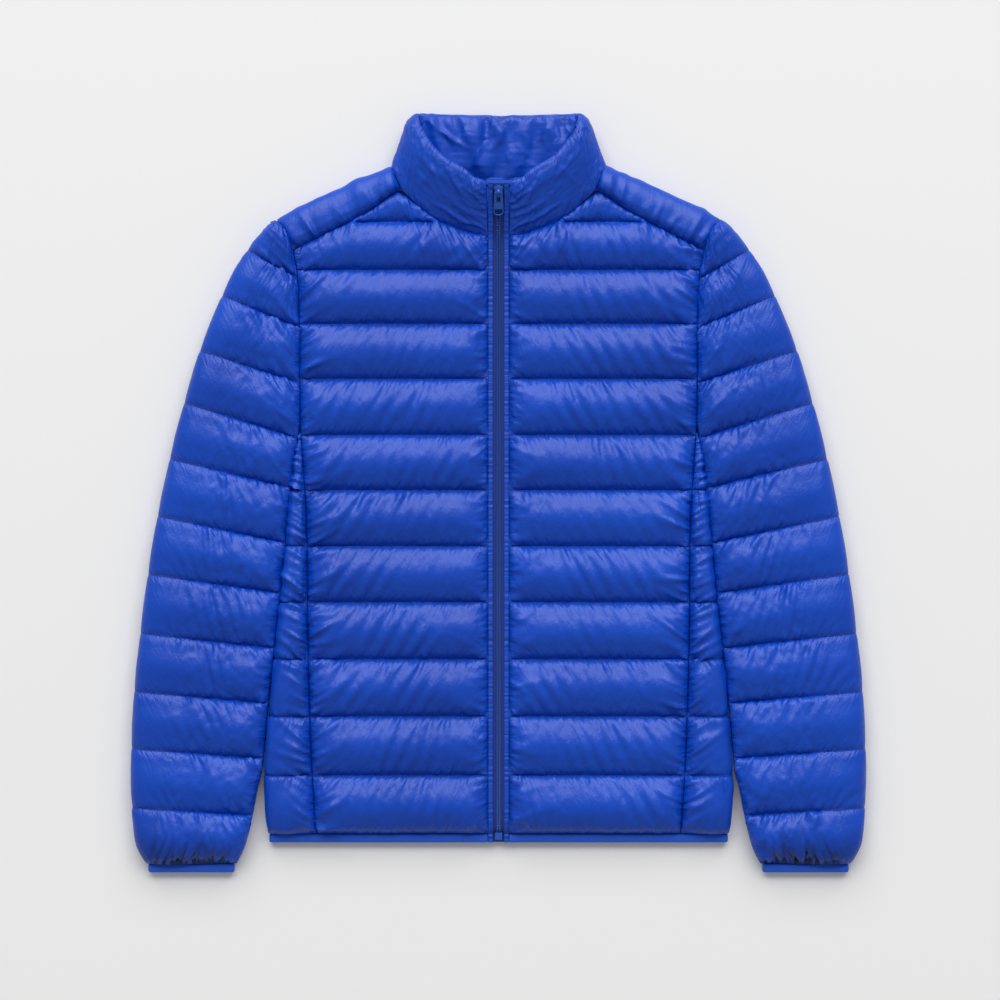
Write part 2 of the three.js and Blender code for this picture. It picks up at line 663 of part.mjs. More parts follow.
// The pull hangs from its bar, which goes through the bridge. Its own frame starts at the bar's middle.
function pull() {
  const { length, halfTop, halfEnd, thick, bar, windowHalf, windowEnd } = PULL;
  const shape = new THREE.Shape();
  shape.moveTo(-halfTop, bar);
  shape.lineTo(-halfEnd, -length + halfEnd);
  shape.quadraticCurveTo(-halfEnd, -length, 0, -length);
  shape.quadraticCurveTo(halfEnd, -length, halfEnd, -length + halfEnd);
  shape.lineTo(halfTop, bar);
  const window = new THREE.Path();
  window.moveTo(-windowHalf, -bar);
  window.lineTo(windowHalf, -bar);
  window.lineTo(windowHalf, -windowEnd);
  window.lineTo(-windowHalf, -windowEnd);
  const slot = new THREE.Path();
  const radius = (PULL_SLOT.to - PULL_SLOT.from) / 2;
  const slotMiddle = -(PULL_SLOT.to + PULL_SLOT.from) / 2;
  slot.absarc(PULL_SLOT.half - radius, slotMiddle, radius, -Math.PI / 2, Math.PI / 2);
  slot.absarc(radius - PULL_SLOT.half, slotMiddle, radius, Math.PI / 2, 1.5 * Math.PI);
  shape.holes.push(window, slot);
  return new THREE.ExtrudeGeometry(shape, { depth: thick, bevelEnabled: false, curveSegments: 4 })
    .translate(0, 0, -thick / 2);
}

// The assembly. Heights above the hem are moved so that the origin lies at the middle of the jacket's length.
const jacket = new THREE.Group();
jacket.position.y = -(COLLAR_TOP + CUFF_EDGE) / 2;

function add(name, geometry, material, parent = jacket) {
  const mesh = new THREE.Mesh(geometry, material());
  mesh.name = name;
  parent.add(mesh);
}

function addPair(name, geometry, material) {
  add(`${name}_left`, geometry, material);
  add(`${name}_right`, mirrored(geometry), material);
}

addPair("front", front(), nylon);
addPair("side_panel", sidePanel(), nylon);
addPair("yoke", yoke(), nylon);
addPair("sleeve", sleeve(), nylon);
add("back", back(), nylon);
add("collar", loft(collarSections()), nylon);
add("hem_binding", hemBinding(), binding);
addPair("cuff_binding", fromSolid(toSolid(cuffBinding())), binding);
addPair("placket", zipStrip(PLACKET, 0, ZIP_TOP), binding);
addPair("zip_tape", zipStrip(TAPE, 0.4, ZIP_TOP), zipTape);
addPair("zip_chain", zipStrip(CHAIN, ZIP_BOX.to + GAP, ZIP_TOP - 1), zipChain);
add("zip_box", zipBox(), zipMetal);
add("neck_tape", neckTape(), binding);

const zipHead = new THREE.Group();
zipHead.position.set(0, SLIDER.middleUp, LOWER_WALL + GAP + zipRise(SLIDER.middleUp));
zipHead.rotation.x = COLLAR_SLOPE;
jacket.add(zipHead);
add("zip_slider", slider(), zipMetal, zipHead);

const pullHinge = new THREE.Group();
pullHinge.position.z = SLIDER.underside + SLIDER.plate + PIVOT_ABOVE_PLATE;
pullHinge.rotation.x = PULL_DROOP;
zipHead.add(pullHinge);
add("zip_pull", pull(), zipMetal, pullHinge);

export default jacket;
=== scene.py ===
"""A quilted down jacket laid flat on its back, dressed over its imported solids.

Lengths are in millimetres until a mesh is made. "Up" is the height above the hem's edge, "out" the distance from
the zip's middle, and z the height above the floor. Every quilted skin is worked out for the wearer's left, and the
right one is another skin of the same cut, turned over to -X.
"""
import bmesh
import bpy
import numpy as np
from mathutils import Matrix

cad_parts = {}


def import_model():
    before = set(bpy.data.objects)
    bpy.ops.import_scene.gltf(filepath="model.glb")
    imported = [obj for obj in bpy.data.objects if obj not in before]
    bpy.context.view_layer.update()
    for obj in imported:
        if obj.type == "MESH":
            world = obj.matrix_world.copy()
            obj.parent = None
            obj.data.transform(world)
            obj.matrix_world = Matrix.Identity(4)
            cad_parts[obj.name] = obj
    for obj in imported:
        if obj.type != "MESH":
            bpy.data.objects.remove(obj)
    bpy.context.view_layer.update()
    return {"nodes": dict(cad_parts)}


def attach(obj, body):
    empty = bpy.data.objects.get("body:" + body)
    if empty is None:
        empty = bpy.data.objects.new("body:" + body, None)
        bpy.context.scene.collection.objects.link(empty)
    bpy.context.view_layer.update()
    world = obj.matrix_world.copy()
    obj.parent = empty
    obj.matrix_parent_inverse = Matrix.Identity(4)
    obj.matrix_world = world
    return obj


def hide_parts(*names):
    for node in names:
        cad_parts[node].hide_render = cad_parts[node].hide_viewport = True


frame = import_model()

MIDDLE_UP = 350.0  # where the frame's origin lies, above the hem's edge
HEM_SEAM, CUFF_SEAM = 9.0, -21.0  # where the bindings are sewn on
UNDERARM = 423.0
NECK_BASE = 606.0
ZIP_TOP = 657.0
ZIP_HALF = 10.5
COLLAR_SLOPE = np.radians(24.0)
CELL = 1.6  # between two threads of the cloth that is worked out
GAP = 0.3  # between the two halves of a flattened tube
SEAM_GAP = 0.15  # from a seam's line to the cloth beside it
LOWER_WALL = 11.0  # how thick the half that lies on the floor is
BOUND_EDGE = 4.3  # and how thick at a bound edge
PLANE = LOWER_WALL + GAP
STITCHED = 4.0  # from there up to a line of stitches
CROWN = 11.5  # from the stitches up to a channel's crown
CHANNEL = 56.0  # from one line of quilting to the next
BINDING_HEIGHT = 8.5
FAR = 60.0  # too far from a line of quilting for its puckers
FULL_WIDTH = 60.0  # a folded skin narrower than this is thinner in proportion
TURN_STEPS = 16  # cells round the upper quarter of a fold

# Lines of quilting across the body, and where each line of a sleeve meets its outer fold and its inner edge.
BODY_LINES = np.array([9, 68, 127, 184, 241, 297, 353, 408, 464, 519, 573], float)
LAST_BODY_LINE = 621.0
SLEEVE_LINES = np.array([
    (623, 621), (593, 564), (547, 515), (492, 460), (440, 405), (384, 355), (327, 300), (269, 250), (210, 195),
    (152, 140), (95, 85), (36, 28), (-21, -21),
], float)

# Edges, as rows of (up, out).
SIDE_SEAM = np.array([
    (9, 182), (68, 186), (127, 188.5), (203, 190.5), (269, 191), (325, 192), (381, 195.5), (423, 198), (518, 199),
    (567, 201), (591, 205), (602, 208), (612, 213), (622, 221.5),
], float)
SIDE_FOLD = np.array([
    (9, 230.5), (25, 232.8), (53, 234.2), (73, 234.4), (98, 232.4), (136, 229.2), (188, 224.1), (255, 216.6),
    (302, 212.3), (353, 207.1), (393, 202.4), (410, 199.4),
], float)
SLEEVE_INNER = np.array([
    (-21, 262.3), (-17, 260), (-3, 253.5), (25, 246.5), (53, 241), (73, 236.4), (98, 233.8), (136, 230.6),
    (188, 225.5), (255, 218), (302, 213.7), (353, 208.5), (393, 203.8), (410, 200.6), (423, 198.5),
], float)
SLEEVE_OUTER = np.array([
    (-21, 352.8), (-17, 355.5), (-3, 362), (11, 364.5), (39, 366.7), (80, 367.5), (151, 364.5), (207, 358.6),
    (263, 351.5), (319, 342.5), (375, 331), (431, 317), (487, 300.5), (529, 284.5), (571, 265), (595, 249.5),
    (611, 236.5), (619, 227.8), (623.4, 222.6),
], float)
# The front's top edge, as rows of (out, up): the neck seam, then the yoke seam.
FRONT_TOP = np.array([
    (10.5, 606), (22, 608), (33, 611), (46, 616), (60, 622), (74, 632), (88, 643), (96, 648.5), (102.5, 650),
    (125, 634.5), (148, 621.5), (173, 608.5), (191, 599.5), (205.5, 592),
], float)
# The yoke from the neck to the armhole, as rows of (front seam out, front seam up, fold out, fold up).
YOKE = np.array([
    (94, 650.8, 105, 676), (103, 651, 109.5, 674.7), (125, 635, 133, 666), (148, 622, 160.4, 654),
    (173, 609, 187, 642), (191, 600, 205.4, 633), (206.3, 592.4, 222.6, 622.8),
], float)
# The collar from its centre back round to the zip, as rows of (sewn edge out, up, z, thickness, free edge out, up,
# z, thickness).
COLLAR = np.array([
    (0, 659.8, 5.5, 11, 0, 727, 6, 12), (50, 659.8, 5.5, 11, 42, 728, 6, 12),
    (88, 660.5, 5.5, 11, 70.5, 728.8, 6, 12), (97, 666, 7.5, 11, 78, 729, 8.3, 12),
    (102.5, 672, 13, 11, 80.5, 728, 14, 12), (99, 667, 18.5, 9, 81, 726, 20, 12),
    (94.5, 655, 18, 7, 79.5, 719, 26, 13), (86, 645.3, 16.2, 5, 73, 706, 30, 14),
    (60, 625, 14.8, 4.6, 57, 686, 34, 14), (36, 614.6, 14.4, 4.6, 36, 672, 37, 13),
    (23, 611, 14.4, 4.6, 24.5, 662, 36.5, 11), (10.7, 608.6, 14.4, 4.6, 12, 659.3, 35.5, 6.5),
], float)


def through(table, at):
    """A smooth curve through rows of (where, value): cubic pieces whose slope at each row is that from the row
    before to the row after."""
    where, value = table[:, 0], table[:, 1]
    before = np.maximum(np.arange(len(table)) - 1, 0)
    after = np.minimum(np.arange(len(table)) + 1, len(table) - 1)
    slope = (value[after] - value[before]) / (where[after] - where[before])
    at = np.clip(at, where[0], where[-1])
    i = np.clip(np.searchsorted(where, at) - 1, 0, len(table) - 2)
    span = where[i + 1] - where[i]
    t = (at - where[i]) / span
    straight = value[i] + (value[i + 1] - value[i]) * t * t * (3 - 2 * t)
    return straight + span * t * (1 - t) * ((1 - t) * slope[i] - t * slope[i + 1])


def on_edge(table, up):
    """The points (out, up) of an edge at these heights."""
    return np.stack([through(table, up), up], -1)


def between_rows(table, knots, at):
    """Every column of a table whose rows stand at the knots, by its smooth curve at places between them."""
    return np.stack([through(np.stack([knots, column], -1), at) for column in table.T], -1)


def blotches(shape, cells, rng):
    """Smooth noise over a grid: random numbers on cells, eased between them, about 1 high."""
    knots = rng.normal(size=(cells[0] + 2, cells[1] + 2))
    y, x = (np.linspace(0, c, n) for c, n in zip(cells, shape))
    iy, ix = y.astype(int), x.astype(int)
    fy, fx = (y - iy)[:, None], (x - ix)[None]
    fy, fx = fy * fy * (3 - 2 * fy), fx * fx * (3 - 2 * fx)
    near = knots[np.ix_(iy, ix)] * (1 - fx) + knots[np.ix_(iy, ix + 1)] * fx
    far = knots[np.ix_(iy + 1, ix)] * (1 - fx) + knots[np.ix_(iy + 1, ix + 1)] * fx
    return near * (1 - fy) + far * fy


def puff(share):
    """The round of a filled channel: a parabola a little filled out, nothing at its stitches, one at its crown."""
    return np.maximum(0, 1 - (2 * share - 1) ** 2) ** 0.88


def close_in(distance, reach):
    """Rises from nothing at a sewn edge to one at reach, on an arc that is steepest at the edge."""
    return 1 - (1 - np.clip(distance / reach, 0, 1)) ** 2


def mix(a, b, share):
    return a + (b - a) * share


def length(vectors):
    return np.sqrt((vectors * vectors).sum(-1))


# Cloth

def pull_together(place, free, first, second, cut, stiff):
    """Moves the ends of each thread towards its cut length, each end by its share of freedom."""
    a, b = place[first], place[second]
    wa, wb = free[first], free[second]
    apart = b - a
    far = length(apart) + 1e-9
    step = stiff * (far - cut) / far / np.maximum(wa + wb, 1e-9)
    apart *= step[..., None]
    place[first] = a + apart * wa[..., None]
    place[second] = b - apart * wb[..., None]


def middles(across, along):
    """The mean width and height of each cell of a grid, from the lengths of its threads."""
    return 0.5 * (across[1:] + across[:-1]), 0.5 * (along[:, 1:] + along[:, :-1])


def threads(target, across, along, lean):
    """The threads of a woven grid in sets that share no point: (first ends, second ends, cut lengths, stiffness).
    The slanting ones are its cells' diagonals, longer one way and shorter the other by as much as the cloth leans."""
    rows, columns = target.shape[:2]
    wide, tall = middles(across, along)
    was_wide, was_tall = middles(length(np.diff(target, axis=1)), length(np.diff(target, axis=0)))
    was = np.hypot(was_wide, was_tall)
    falling = length(target[1:, 1:] - target[:-1, :-1]) * np.hypot(wide + lean * tall, tall) / was
    rising = length(target[1:, :-1] - target[:-1, 1:]) * np.hypot(wide - lean * tall, tall) / was
    every = slice(None)
    sets = []
    for k in (0, 1):
        n = (columns - k) // 2
        a, b = slice(k, k + 2 * n, 2), slice(k + 1, k + 2 * n, 2)
        sets.append(((every, a), (every, b), across[:, a], 1.0))
        n = (rows - k) // 2
        a, b = slice(k, k + 2 * n, 2), slice(k + 1, k + 2 * n, 2)
        sets.append(((a, every), (b, every), along[a], 1.0))
        left, right = slice(None, -1), slice(1, None)
        sets.append(((a, left), (b, right), falling[a], 0.35))
        sets.append(((a, right), (b, left), rising[a], 0.35))
    return sets


def outward(place, side):
    """The direction out of a skin at each of its points, from the cross product of the steps both ways."""
    across, along = np.zeros_like(place), np.zeros_like(place)
    across[:, 1:-1] = place[:, 2:] - place[:, :-2]
    along[1:-1] = place[2:] - place[:-2]
    normal = np.cross(across, along) * side
    return normal / (length(normal)[..., None] + 1e-9)


def bends(place):
    """How far each point lies from the mean of its neighbours, both ways, times four."""
    out = np.zeros_like(place)
    out[:, 1:-1] += place[:, 2:] + place[:, :-2] - 2 * place[:, 1:-1]
    out[1:-1] += place[2:] + place[:-2] - 2 * place[1:-1]
    return out


def filled(skin, seed, gather=0.035, slack=0.01, fill=0.006, stiff=0.4, slant=(0.03, 0.03), crumple=0.5, steps=220):
    """Lets a sewn skin fill with down and pucker, as cloth does.

    Its threads are cut longer than the skin's own, by gather across and slack along. Each step moves every point on
    by its speed and a push outwards, draws the threads to their cut lengths, straightens bends, and lets the down
    press the cloth back to its round, firmly by the seams and softly between them, which spaces the puckers. Points
    that are sewn stay where they are, and none crosses a fence or sinks below the skin's bed."""
    rng = np.random.default_rng(seed)
    target, free, side = skin["place"], (~skin["sewn"]).astype(float), skin["side"]
    shape = free.shape
    gathers = 1 + gather * (1 + 0.5 * blotches(shape, (shape[0] // 30, 4), rng))
    across = length(np.diff(target, axis=1)) * 0.5 * (gathers[:, 1:] + gathers[:, :-1])
    along = length(np.diff(target, axis=0)) * (1 + slack)
    lean = np.linspace(*slant, shape[1] - 1)[None]
    lean = lean + 0.03 * blotches((shape[0] - 1, shape[1] - 1), (shape[0] // 30, 5), rng)
    support = skin["support"]
    place = target.copy()
    place[..., 2] += free * blotches(shape, (shape[0] // 3, shape[1] // 3), rng) * crumple
    before = place.copy()
    sets = threads(target, across, along, lean)
    for _ in range(steps):
        speed = 0.95 * (place - before)
        before = place.copy()
        out = outward(place, side)
        sunk = ((target - place) * out).sum(-1)
        place = place + free[..., None] * (speed + (fill + support * sunk)[..., None] * out)
        for _ in range(2):
            for first, second, cut, stiffness in sets:
                pull_together(place, free, first, second, cut, stiffness)
        place -= free[..., None] * stiff * bends(bends(place)) / 32
        for point, normal in skin["fences"]:
            over = np.minimum(((place[..., :2] - point) * normal).sum(-1), 0)
            place[..., :2] -= free[..., None] * over[..., None] * normal
        place[..., 2] = np.maximum(place[..., 2], skin["bed"])
    return place


def supported(distance, near=0.02, far=0.0015, reach=9.0):
    """How firmly the down presses the cloth to its round, a given way from the nearest seam."""
    return far + (near - far) * np.exp(-distance / reach)


def puckers(at, away, rng, spacing, reach, tall, lean):
    """Small folds that start at a seam: ridges at uneven steps along it, each of its own length, height and lean.

    at is the way along the seam and away the distance from it. A ridge is nothing at the seam, swells to its height
    a third of the way along, and dies away as it widens: height x e^(1-x) e^(-(offset / width)^2), where x grows with
    the distance. lean is how far the ridges go along the seam for each millimetre away, at its start and its end."""
    low, high = at.min(), at.max()
    count = int((high - low) / spacing) + 1
    centre = low + np.cumsum(rng.uniform(0.5, 1.5, count)) * spacing
    long = reach * rng.uniform(0.6, 1.6, count)
    size = tall * rng.uniform(0.2, 1.4, count)
    tilt = mix(lean[0], lean[1], (centre - low) / (high - low)) + rng.normal(0, 0.18, count)
    wide = spacing * rng.uniform(0.2, 0.34, count)
    far = 2.2 * away[..., None] / long
    offset = (at[..., None] - centre - tilt * away[..., None]) / (wide * (1 + 0.4 * far))
    return (size * far * np.exp(1 - far - offset * offset)).sum(-1)


def pleats(at, away, rng, spacing, reach, deep, lean):
    """Narrow valleys that run up from a gathered edge: -depth x e^(-offset / width) x e^(-away / length), with a sharp
    bottom, at uneven steps along the edge. lean is as for puckers."""
    low, high = at.min(), at.max()
    count = int((high - low) / spacing) + 1
    centre = low + np.cumsum(rng.uniform(0.6, 1.4, count)) * spacing
    long = reach * rng.uniform(0.6, 1.7, count)
    size = deep * rng.uniform(0.5, 1.3, count)
    tilt = mix(lean[0], lean[1], (centre - low) / (high - low)) + rng.normal(0, 0.25, count)
    offset = np.abs(at[..., None] - centre - tilt * away[..., None])
    return -(size * np.exp(-offset / (0.2 * spacing) - away[..., None] / long)).sum(-1)


def twice_as_fine(points, axis):
    """Adds a point midway between each two along an axis, on the cubic through the four nearest."""
    points = np.moveaxis(points, axis, 0)
    padded = np.concatenate([2 * points[:1] - points[1:2], points, 2 * points[-1:] - points[-2:-1]])
    middle = (9 * (padded[1:-2] + padded[2:-1]) - padded[:-3] - padded[3:]) / 16
    out = np.empty((2 * len(points) - 1, *points.shape[1:]))
    out[::2], out[1::2] = points, middle
    return np.moveaxis(out, 0, axis)


def crease_along(path, place, tall, wide):
    """A ridge over a path of (out, up), as high as tall at the path's middle and nothing at its ends."""
    at = place[..., None, :2]
    start, way = path[:-1], np.diff(path, axis=0)
    share = np.clip(((at - start) * way).sum(-1) / (way * way).sum(-1), 0, 1)
    far = length(at - start - share[..., None] * way)
    nearest = far.argmin(-1)[..., None]
    along = (nearest + np.take_along_axis(share, nearest, -1))[..., 0] / len(way)
    return tall * np.sin(np.pi * along) ** 0.6 * np.exp(-((far.min(-1) / wide) ** 2))


def finer_columns(skin, place):
    """A skin and its cloth with a column added midway between each two."""
    def between(field):
        return twice_as_fine(np.broadcast_to(field, place.shape[:2])[..., None], 1)[..., 0]

    fine = {name: between(skin[name]) for name in ("along", "below", "above", "lively", "bed")}
    fine["seams"] = [
        (between(at), between(away), spacing, reach, between(tall), lean)
        for at, away, spacing, reach, tall, lean in skin["seams"]
    ]
    fine["by_seam"] = tuple(between(part) for part in skin["by_seam"])
    fine["sewn"] = np.repeat(skin["sewn"], 2, axis=1)[:, :-1]
    return {**skin, **fine}, twice_as_fine(place, 1)


# The puckers that lead away from a line of quilting: on which side of it, and how far apart, how long and how high.
# Those below it lean as the skin says, and those above it stand straight.
LINE_PUCKERS = (("below", 8.0, 11, 1.0), ("below", 4.6, 5, 0.9), ("above", 7.0, 6, 0.6))
# The fine crumple everywhere: how many cells across its blotches are, and how high.
CRUMPLES = ((3, 0.09), (6, 0.16))


def creased(skin, place, rng):
    """Raises the small folds of a skin's seams and a fine crumple on its filled cloth, along its own normals. Gives
    the cloth, and how far each point was raised.

    A skin's seams are (at, away, spacing, reach, height, lean) of puckers, its pleats the same of pleats with their
    share of the skin, and its creases (path, height, width, where) of single ridges."""
    raised = np.zeros(place.shape[:2])
    lively = np.broadcast_to(skin["lively"], raised.shape)
    for k in range(skin["channel"].max() + 1):
        rows = skin["channel"] == k
        for from_line, spacing, reach, tall in LINE_PUCKERS:
            lean = skin["lean"] if from_line == "below" else (0, 0)
            found = puckers(skin["along"][rows], skin[from_line][rows], rng, spacing, reach, tall, lean)
            raised[rows] += found * lively[rows]
    for at, away, spacing, reach, tall, lean in skin["seams"]:
        columns = away.min(0) < 3.5 * reach  # beyond it a pucker has died away
        found = puckers(at[:, columns], away[:, columns], rng, spacing, reach, 1.0, lean)
        raised[:, columns] += found * np.broadcast_to(tall, raised.shape)[:, columns]
    for at, away, spacing, reach, deep, lean, where in skin.get("pleats", ()):
        rows = away.min(1) < 5 * reach
        raised[rows] += pleats(at[rows], away[rows], rng, spacing, reach, deep, lean) * where[rows]
    rows, columns = raised.shape
    for cells, tall in CRUMPLES:
        raised += tall * blotches(raised.shape, (rows // cells, columns // cells), rng) * lively
    for path, tall, wide, where in skin.get("creases", ()):
        raised += crease_along(np.array(path, float), place, tall, wide) * where
    if "crinkled" in skin:
        raised += skin["crinkled"] * blotches(raised.shape, (rows // 3, columns // 3), rng)
    free = (~skin["sewn"])[..., None]
    lifted = place + free * raised[..., None] * outward(place, skin["side"])
    lifted[..., 2] = np.maximum(lifted[..., 2], skin["bed"])
    return lifted, raised


# Meshes

def to_frame(points):
    """Millimetres with heights above the hem, as metres in the jacket's frame."""
    moved = np.asarray(points, float).copy()
    moved[..., 1] -= MIDDLE_UP
    return moved / 1000


def piece(name, points, faces, material, crease=60):
    """A finished mesh piece from points in millimetres and lists of corners, its faces turned outwards."""
    mesh = bpy.data.meshes.new(name + "_sewn")
    mesh.from_pydata(to_frame(points).reshape(-1, 3).tolist(), [], faces)
    turned = bmesh.new()
    turned.from_mesh(mesh)
    bmesh.ops.recalc_face_normals(turned, faces=turned.faces)
    turned.to_mesh(mesh)
    turned.free()
    mesh.shade_smooth()
    mesh.set_sharp_from_angle(angle=np.radians(crease))
    mesh.materials.append(material)
    made = bpy.data.objects.new(name + "_sewn", mesh)
    bpy.context.scene.collection.objects.link(made)
    return made


def tube_faces(rows, columns, ends=True):
    """The faces of rows of closed rings, and one face on each end."""
    here = np.arange(rows * columns).reshape(rows, columns)
    on = np.roll(here, -1, axis=1)
    quads = np.stack([here[:-1], on[:-1], on[1:], here[1:]], -1).reshape(-1, 4).tolist()
    return quads + [here[0, ::-1].tolist(), here[-1].tolist()] if ends else quads


def tube(name, rings, material, crease=60):
    """A closed piece through rings of points, an array of (rows, points round a ring, 3)."""
    return piece(name, rings, tube_faces(*rings.shape[:2]), material, crease)


def note(made_piece, name, at, away, columns, across=0.0):
    """Keeps on a piece how far each point is along a seam and away from it, and how far across its channel, for its
    finish to read."""
    at, away, across = np.broadcast_arrays(at, away, across)
    kept = np.stack([at, away, across], -1)
    rest = np.full((len(kept), columns - kept.shape[1], 3), (0.0, 99.0, 0.0))
    layer = made_piece.data.attributes.new(name, "FLOAT_VECTOR", "POINT")
    layer.data.foreach_set("vector", np.concatenate([kept, rest], 1).ravel())


def mirrored(points, left):
    """The points as they are on the left, or turned over to -X."""
    return points if left else points * np.array([-1.0, 1.0, 1.0])


# Skins

def channel_rows(lengths):
    """Rows a cell apart in channels of these lengths: the channel of each row and its share of the way across."""
    channel, share = [], []
    for k, reach in enumerate(lengths):
        count = max(4, int(round(reach / CELL)))
        channel += [k] * count
        share += [i / count for i in range(count)]
    return np.array(channel + [len(lengths) - 1]), np.array(share + [1.0])


def front_skin():
    """A front's padded skin. Its columns run up from the hem and share the way from the zip to the side seam. Its
    rows lie along the quilting up to the last whole line. Above that, some share the way to the short last line, or
    most of the way to the top edge where there is none, and the rest share what is left."""
    steps = np.diff(BODY_LINES)
    channel, share = channel_rows([*steps, 48.0, 22.0])
    count = len(steps)
    columns = int(round((193.5 - ZIP_HALF) / (1.2 * CELL))) + 1
    u = np.linspace(0, 1, columns)[None]
    top = through(FRONT_TOP, mix(ZIP_HALF, 205.0, u))
    last = np.minimum(LAST_BODY_LINE, mix(BODY_LINES[-1], top, 0.93))
    edges = np.concatenate([np.repeat(BODY_LINES[:, None], columns, 1), last, top])
    low, high = edges[channel], edges[channel + 1]
    up = mix(low, high, share[:, None])
    outer = through(SIDE_SEAM, np.minimum(up, 592.5)) - SEAM_GAP
    out = mix(ZIP_HALF, outer, u)
    # Where there is no short last line, the two top parts swell as one.
    lined = last >= LAST_BODY_LINE - 0.1
    below = np.where(~lined & (channel[:, None] == count + 1), BODY_LINES[-1], low)
    above = np.where(~lined & (channel[:, None] == count), top, high)
    across = (up - below) / (above - below)
    tall = np.clip((above - below) / 50, 0.25, 1)
    edge = np.minimum(out - ZIP_HALF, outer - out)
    z = PLANE + STITCHED + CROWN * tall * puff(across) * close_in(edge, 20)
    thin = through(np.array([(HEM_SEAM, 0.0), (15, 0.62), (30, 0.95), (50, 1.0)]), up)
    sunk = (1 - thin) * (LOWER_WALL - BOUND_EDGE)
    sewn = np.zeros(up.shape, bool)
    sewn[share == 0] = True
    sewn[(channel == count + 1) & (share == 0)] = lined
    sewn[-1] = sewn[:, 0] = sewn[:, -1] = True
    place = np.stack([out, up, z - sunk], -1)
    rise = np.array([0.0, 1.0])
    fences = [(np.stack([out, below], -1), rise), (np.stack([out, above], -1), -rise)]
    near = np.minimum(edge, np.minimum(up - below, above - up))
    from_zip, from_side = out - ZIP_HALF, outer - out
    from_neck = np.maximum(top - up, 0)
    return {
        "channel": np.minimum(channel, count),
        "along": out,
        "below": np.maximum(above - up, 0),
        "above": np.maximum(up - below, 0),
        "lean": (0.1, 0.9),
        "lively": np.ones_like(up),
        "seams": [
            (up, from_zip, 5.5, 8.0, 1.2, (-0.3, -0.3)),
            (up, from_zip, 9.0, 16.0, 0.8, (0.4, 0.4)),
            (up, from_side, 6.5, 13.0, 2.2, (0.5, 0.5)),
            (out, from_neck, 6.5, 20.0, 0.4 + 1.0 * np.clip((105 - out) / 15, 0, 1), (-0.9, -0.2)),
            (out, up - HEM_SEAM, 8.0, 14.0, 0.9, (0, 0)),
        ],
        "by_seam": (up, np.minimum(from_zip, from_side)),
        "place": place,
        "sewn": sewn,
        "side": 1,
        "fences": fences,
        "bed": PLANE + 1.5 - sunk,
        "support": supported(near),
    }


def folded_skin(
    seam, fold, height, lower, whole, under, lip=STITCHED, heel=0.0, pressed=0.0, share=None, calm=0.4, turned=24.0
):
    """A padded skin that goes over a fold and comes back flat underneath.

    seam and fold are the points (out, up) where each row starts and folds. Across a row the skin rises on an arc
    from the seam to its height, goes round the fold by two quarter ellipses, and lies flat to under, which is where
    it ends. height is the crown's, share each row's place in its channel, and calm how much of the channels' round
    is left at the fold. pressed is how far the quilting lifts it off the floor underneath, and turned how wide the
    fold's upper quarter is on a skin of full width."""
    way = fold - seam
    width = length(way)[:, None]
    way = way / width
    scale = np.minimum(1, width / FULL_WIDTH)
    height, lower = height[:, None] * np.minimum(1, 2.5 * scale), lower[:, None]
    plane = lower + GAP
    round_left = puff(share)[:, None] if share is not None else np.ones_like(width)
    top = plane + STITCHED + height * mix(1, round_left, calm)
    middle = 0.45 * top
    lip, heel = np.broadcast_to(lip, (len(seam),))[:, None], np.broadcast_to(heel, (len(seam),))[:, None]
    over = np.linspace(0, 1, whole)[None]
    shoulder, foot = turned * scale, 14 * scale
    along_top = over * (width - shoulder)
    kept = mix(1, calm, over**1.5)
    crown = plane + STITCHED + height * mix(1, round_left, kept)
    z_top = mix(plane + lip, crown, close_in(along_top, 20 * scale))
    turn = np.linspace(0, np.pi / 2, TURN_STEPS + 1)[None, 1:]
    along_fold = width - shoulder + shoulder * np.sin(turn)
    z_fold = middle + (top - middle) * np.cos(turn)
    turn = np.linspace(0, np.pi / 2, 9)[None, 1:]
    along_foot = width - foot * (1 - np.cos(turn))
    z_foot = middle * (1 - np.sin(turn))
    under = np.broadcast_to(under, (len(seam),))[:, None]
    back = np.linspace(0, 1, 9)[None, 1:]
    run = np.maximum(0.5, heel) * scale
    along_back = mix(width - foot, under + run, back)
    lift = np.broadcast_to(pressed, (len(seam),))[:, None]
    z_foot = z_foot + lift * np.linspace(0, 1, 8)[None]
    z_back = lift * np.ones_like(back)
    end = np.concatenate([under, heel + lift], 1)
    along = np.concatenate([along_top, along_fold, along_foot, along_back, end[:, :1]], 1)
    z = np.concatenate([z_top, z_fold, z_foot, z_back, end[:, 1:]], 1)
    lively = 1 + 0 * along if share is None else 1 - 0.85 * np.clip((along / width - 0.55) / 0.25, 0, 1)
    flat = seam[:, None] + way[:, None] * along[..., None]
    place = np.concatenate([flat, z[..., None]], -1)
    folded = whole + TURN_STEPS - 1
    sewn = np.zeros(along.shape, bool)
    sewn[:, 0] = True
    sewn[:, folded + 1:] = True
    sewn[0] = sewn[-1] = True
    if share is not None:
        sewn[share == 0] = True
    return {
        "place": place,
        "sewn": sewn,
        "folded": folded,
        "width": width,
        "plane": plane,
        "lower": lower,
        "fences": [(fold[:, None], -way[:, None])],
        "from_seam": along,
        "along": along,
        "lively": lively,
        "over": np.arange(along.shape[1])[None] <= folded,
    }


def fences_between(starts, ends, channel):
    """Two fences for each row of a channel: the lines of quilting before and after it, as points and the normals
    that look into the channel."""
    found = []
    for line in (channel, channel + 1):
        start, end = starts[line], ends[line]
        way = end - start
        normal = np.stack([way[:, 1], -way[:, 0]], -1) / length(way)[:, None]
        middle = (starts[channel] + starts[channel + 1] + ends[channel] + ends[channel + 1]) / 4
        inward = np.sign(((middle - start) * normal).sum(-1))[:, None]
        found.append((start[:, None], (normal * inward)[:, None]))
    return found


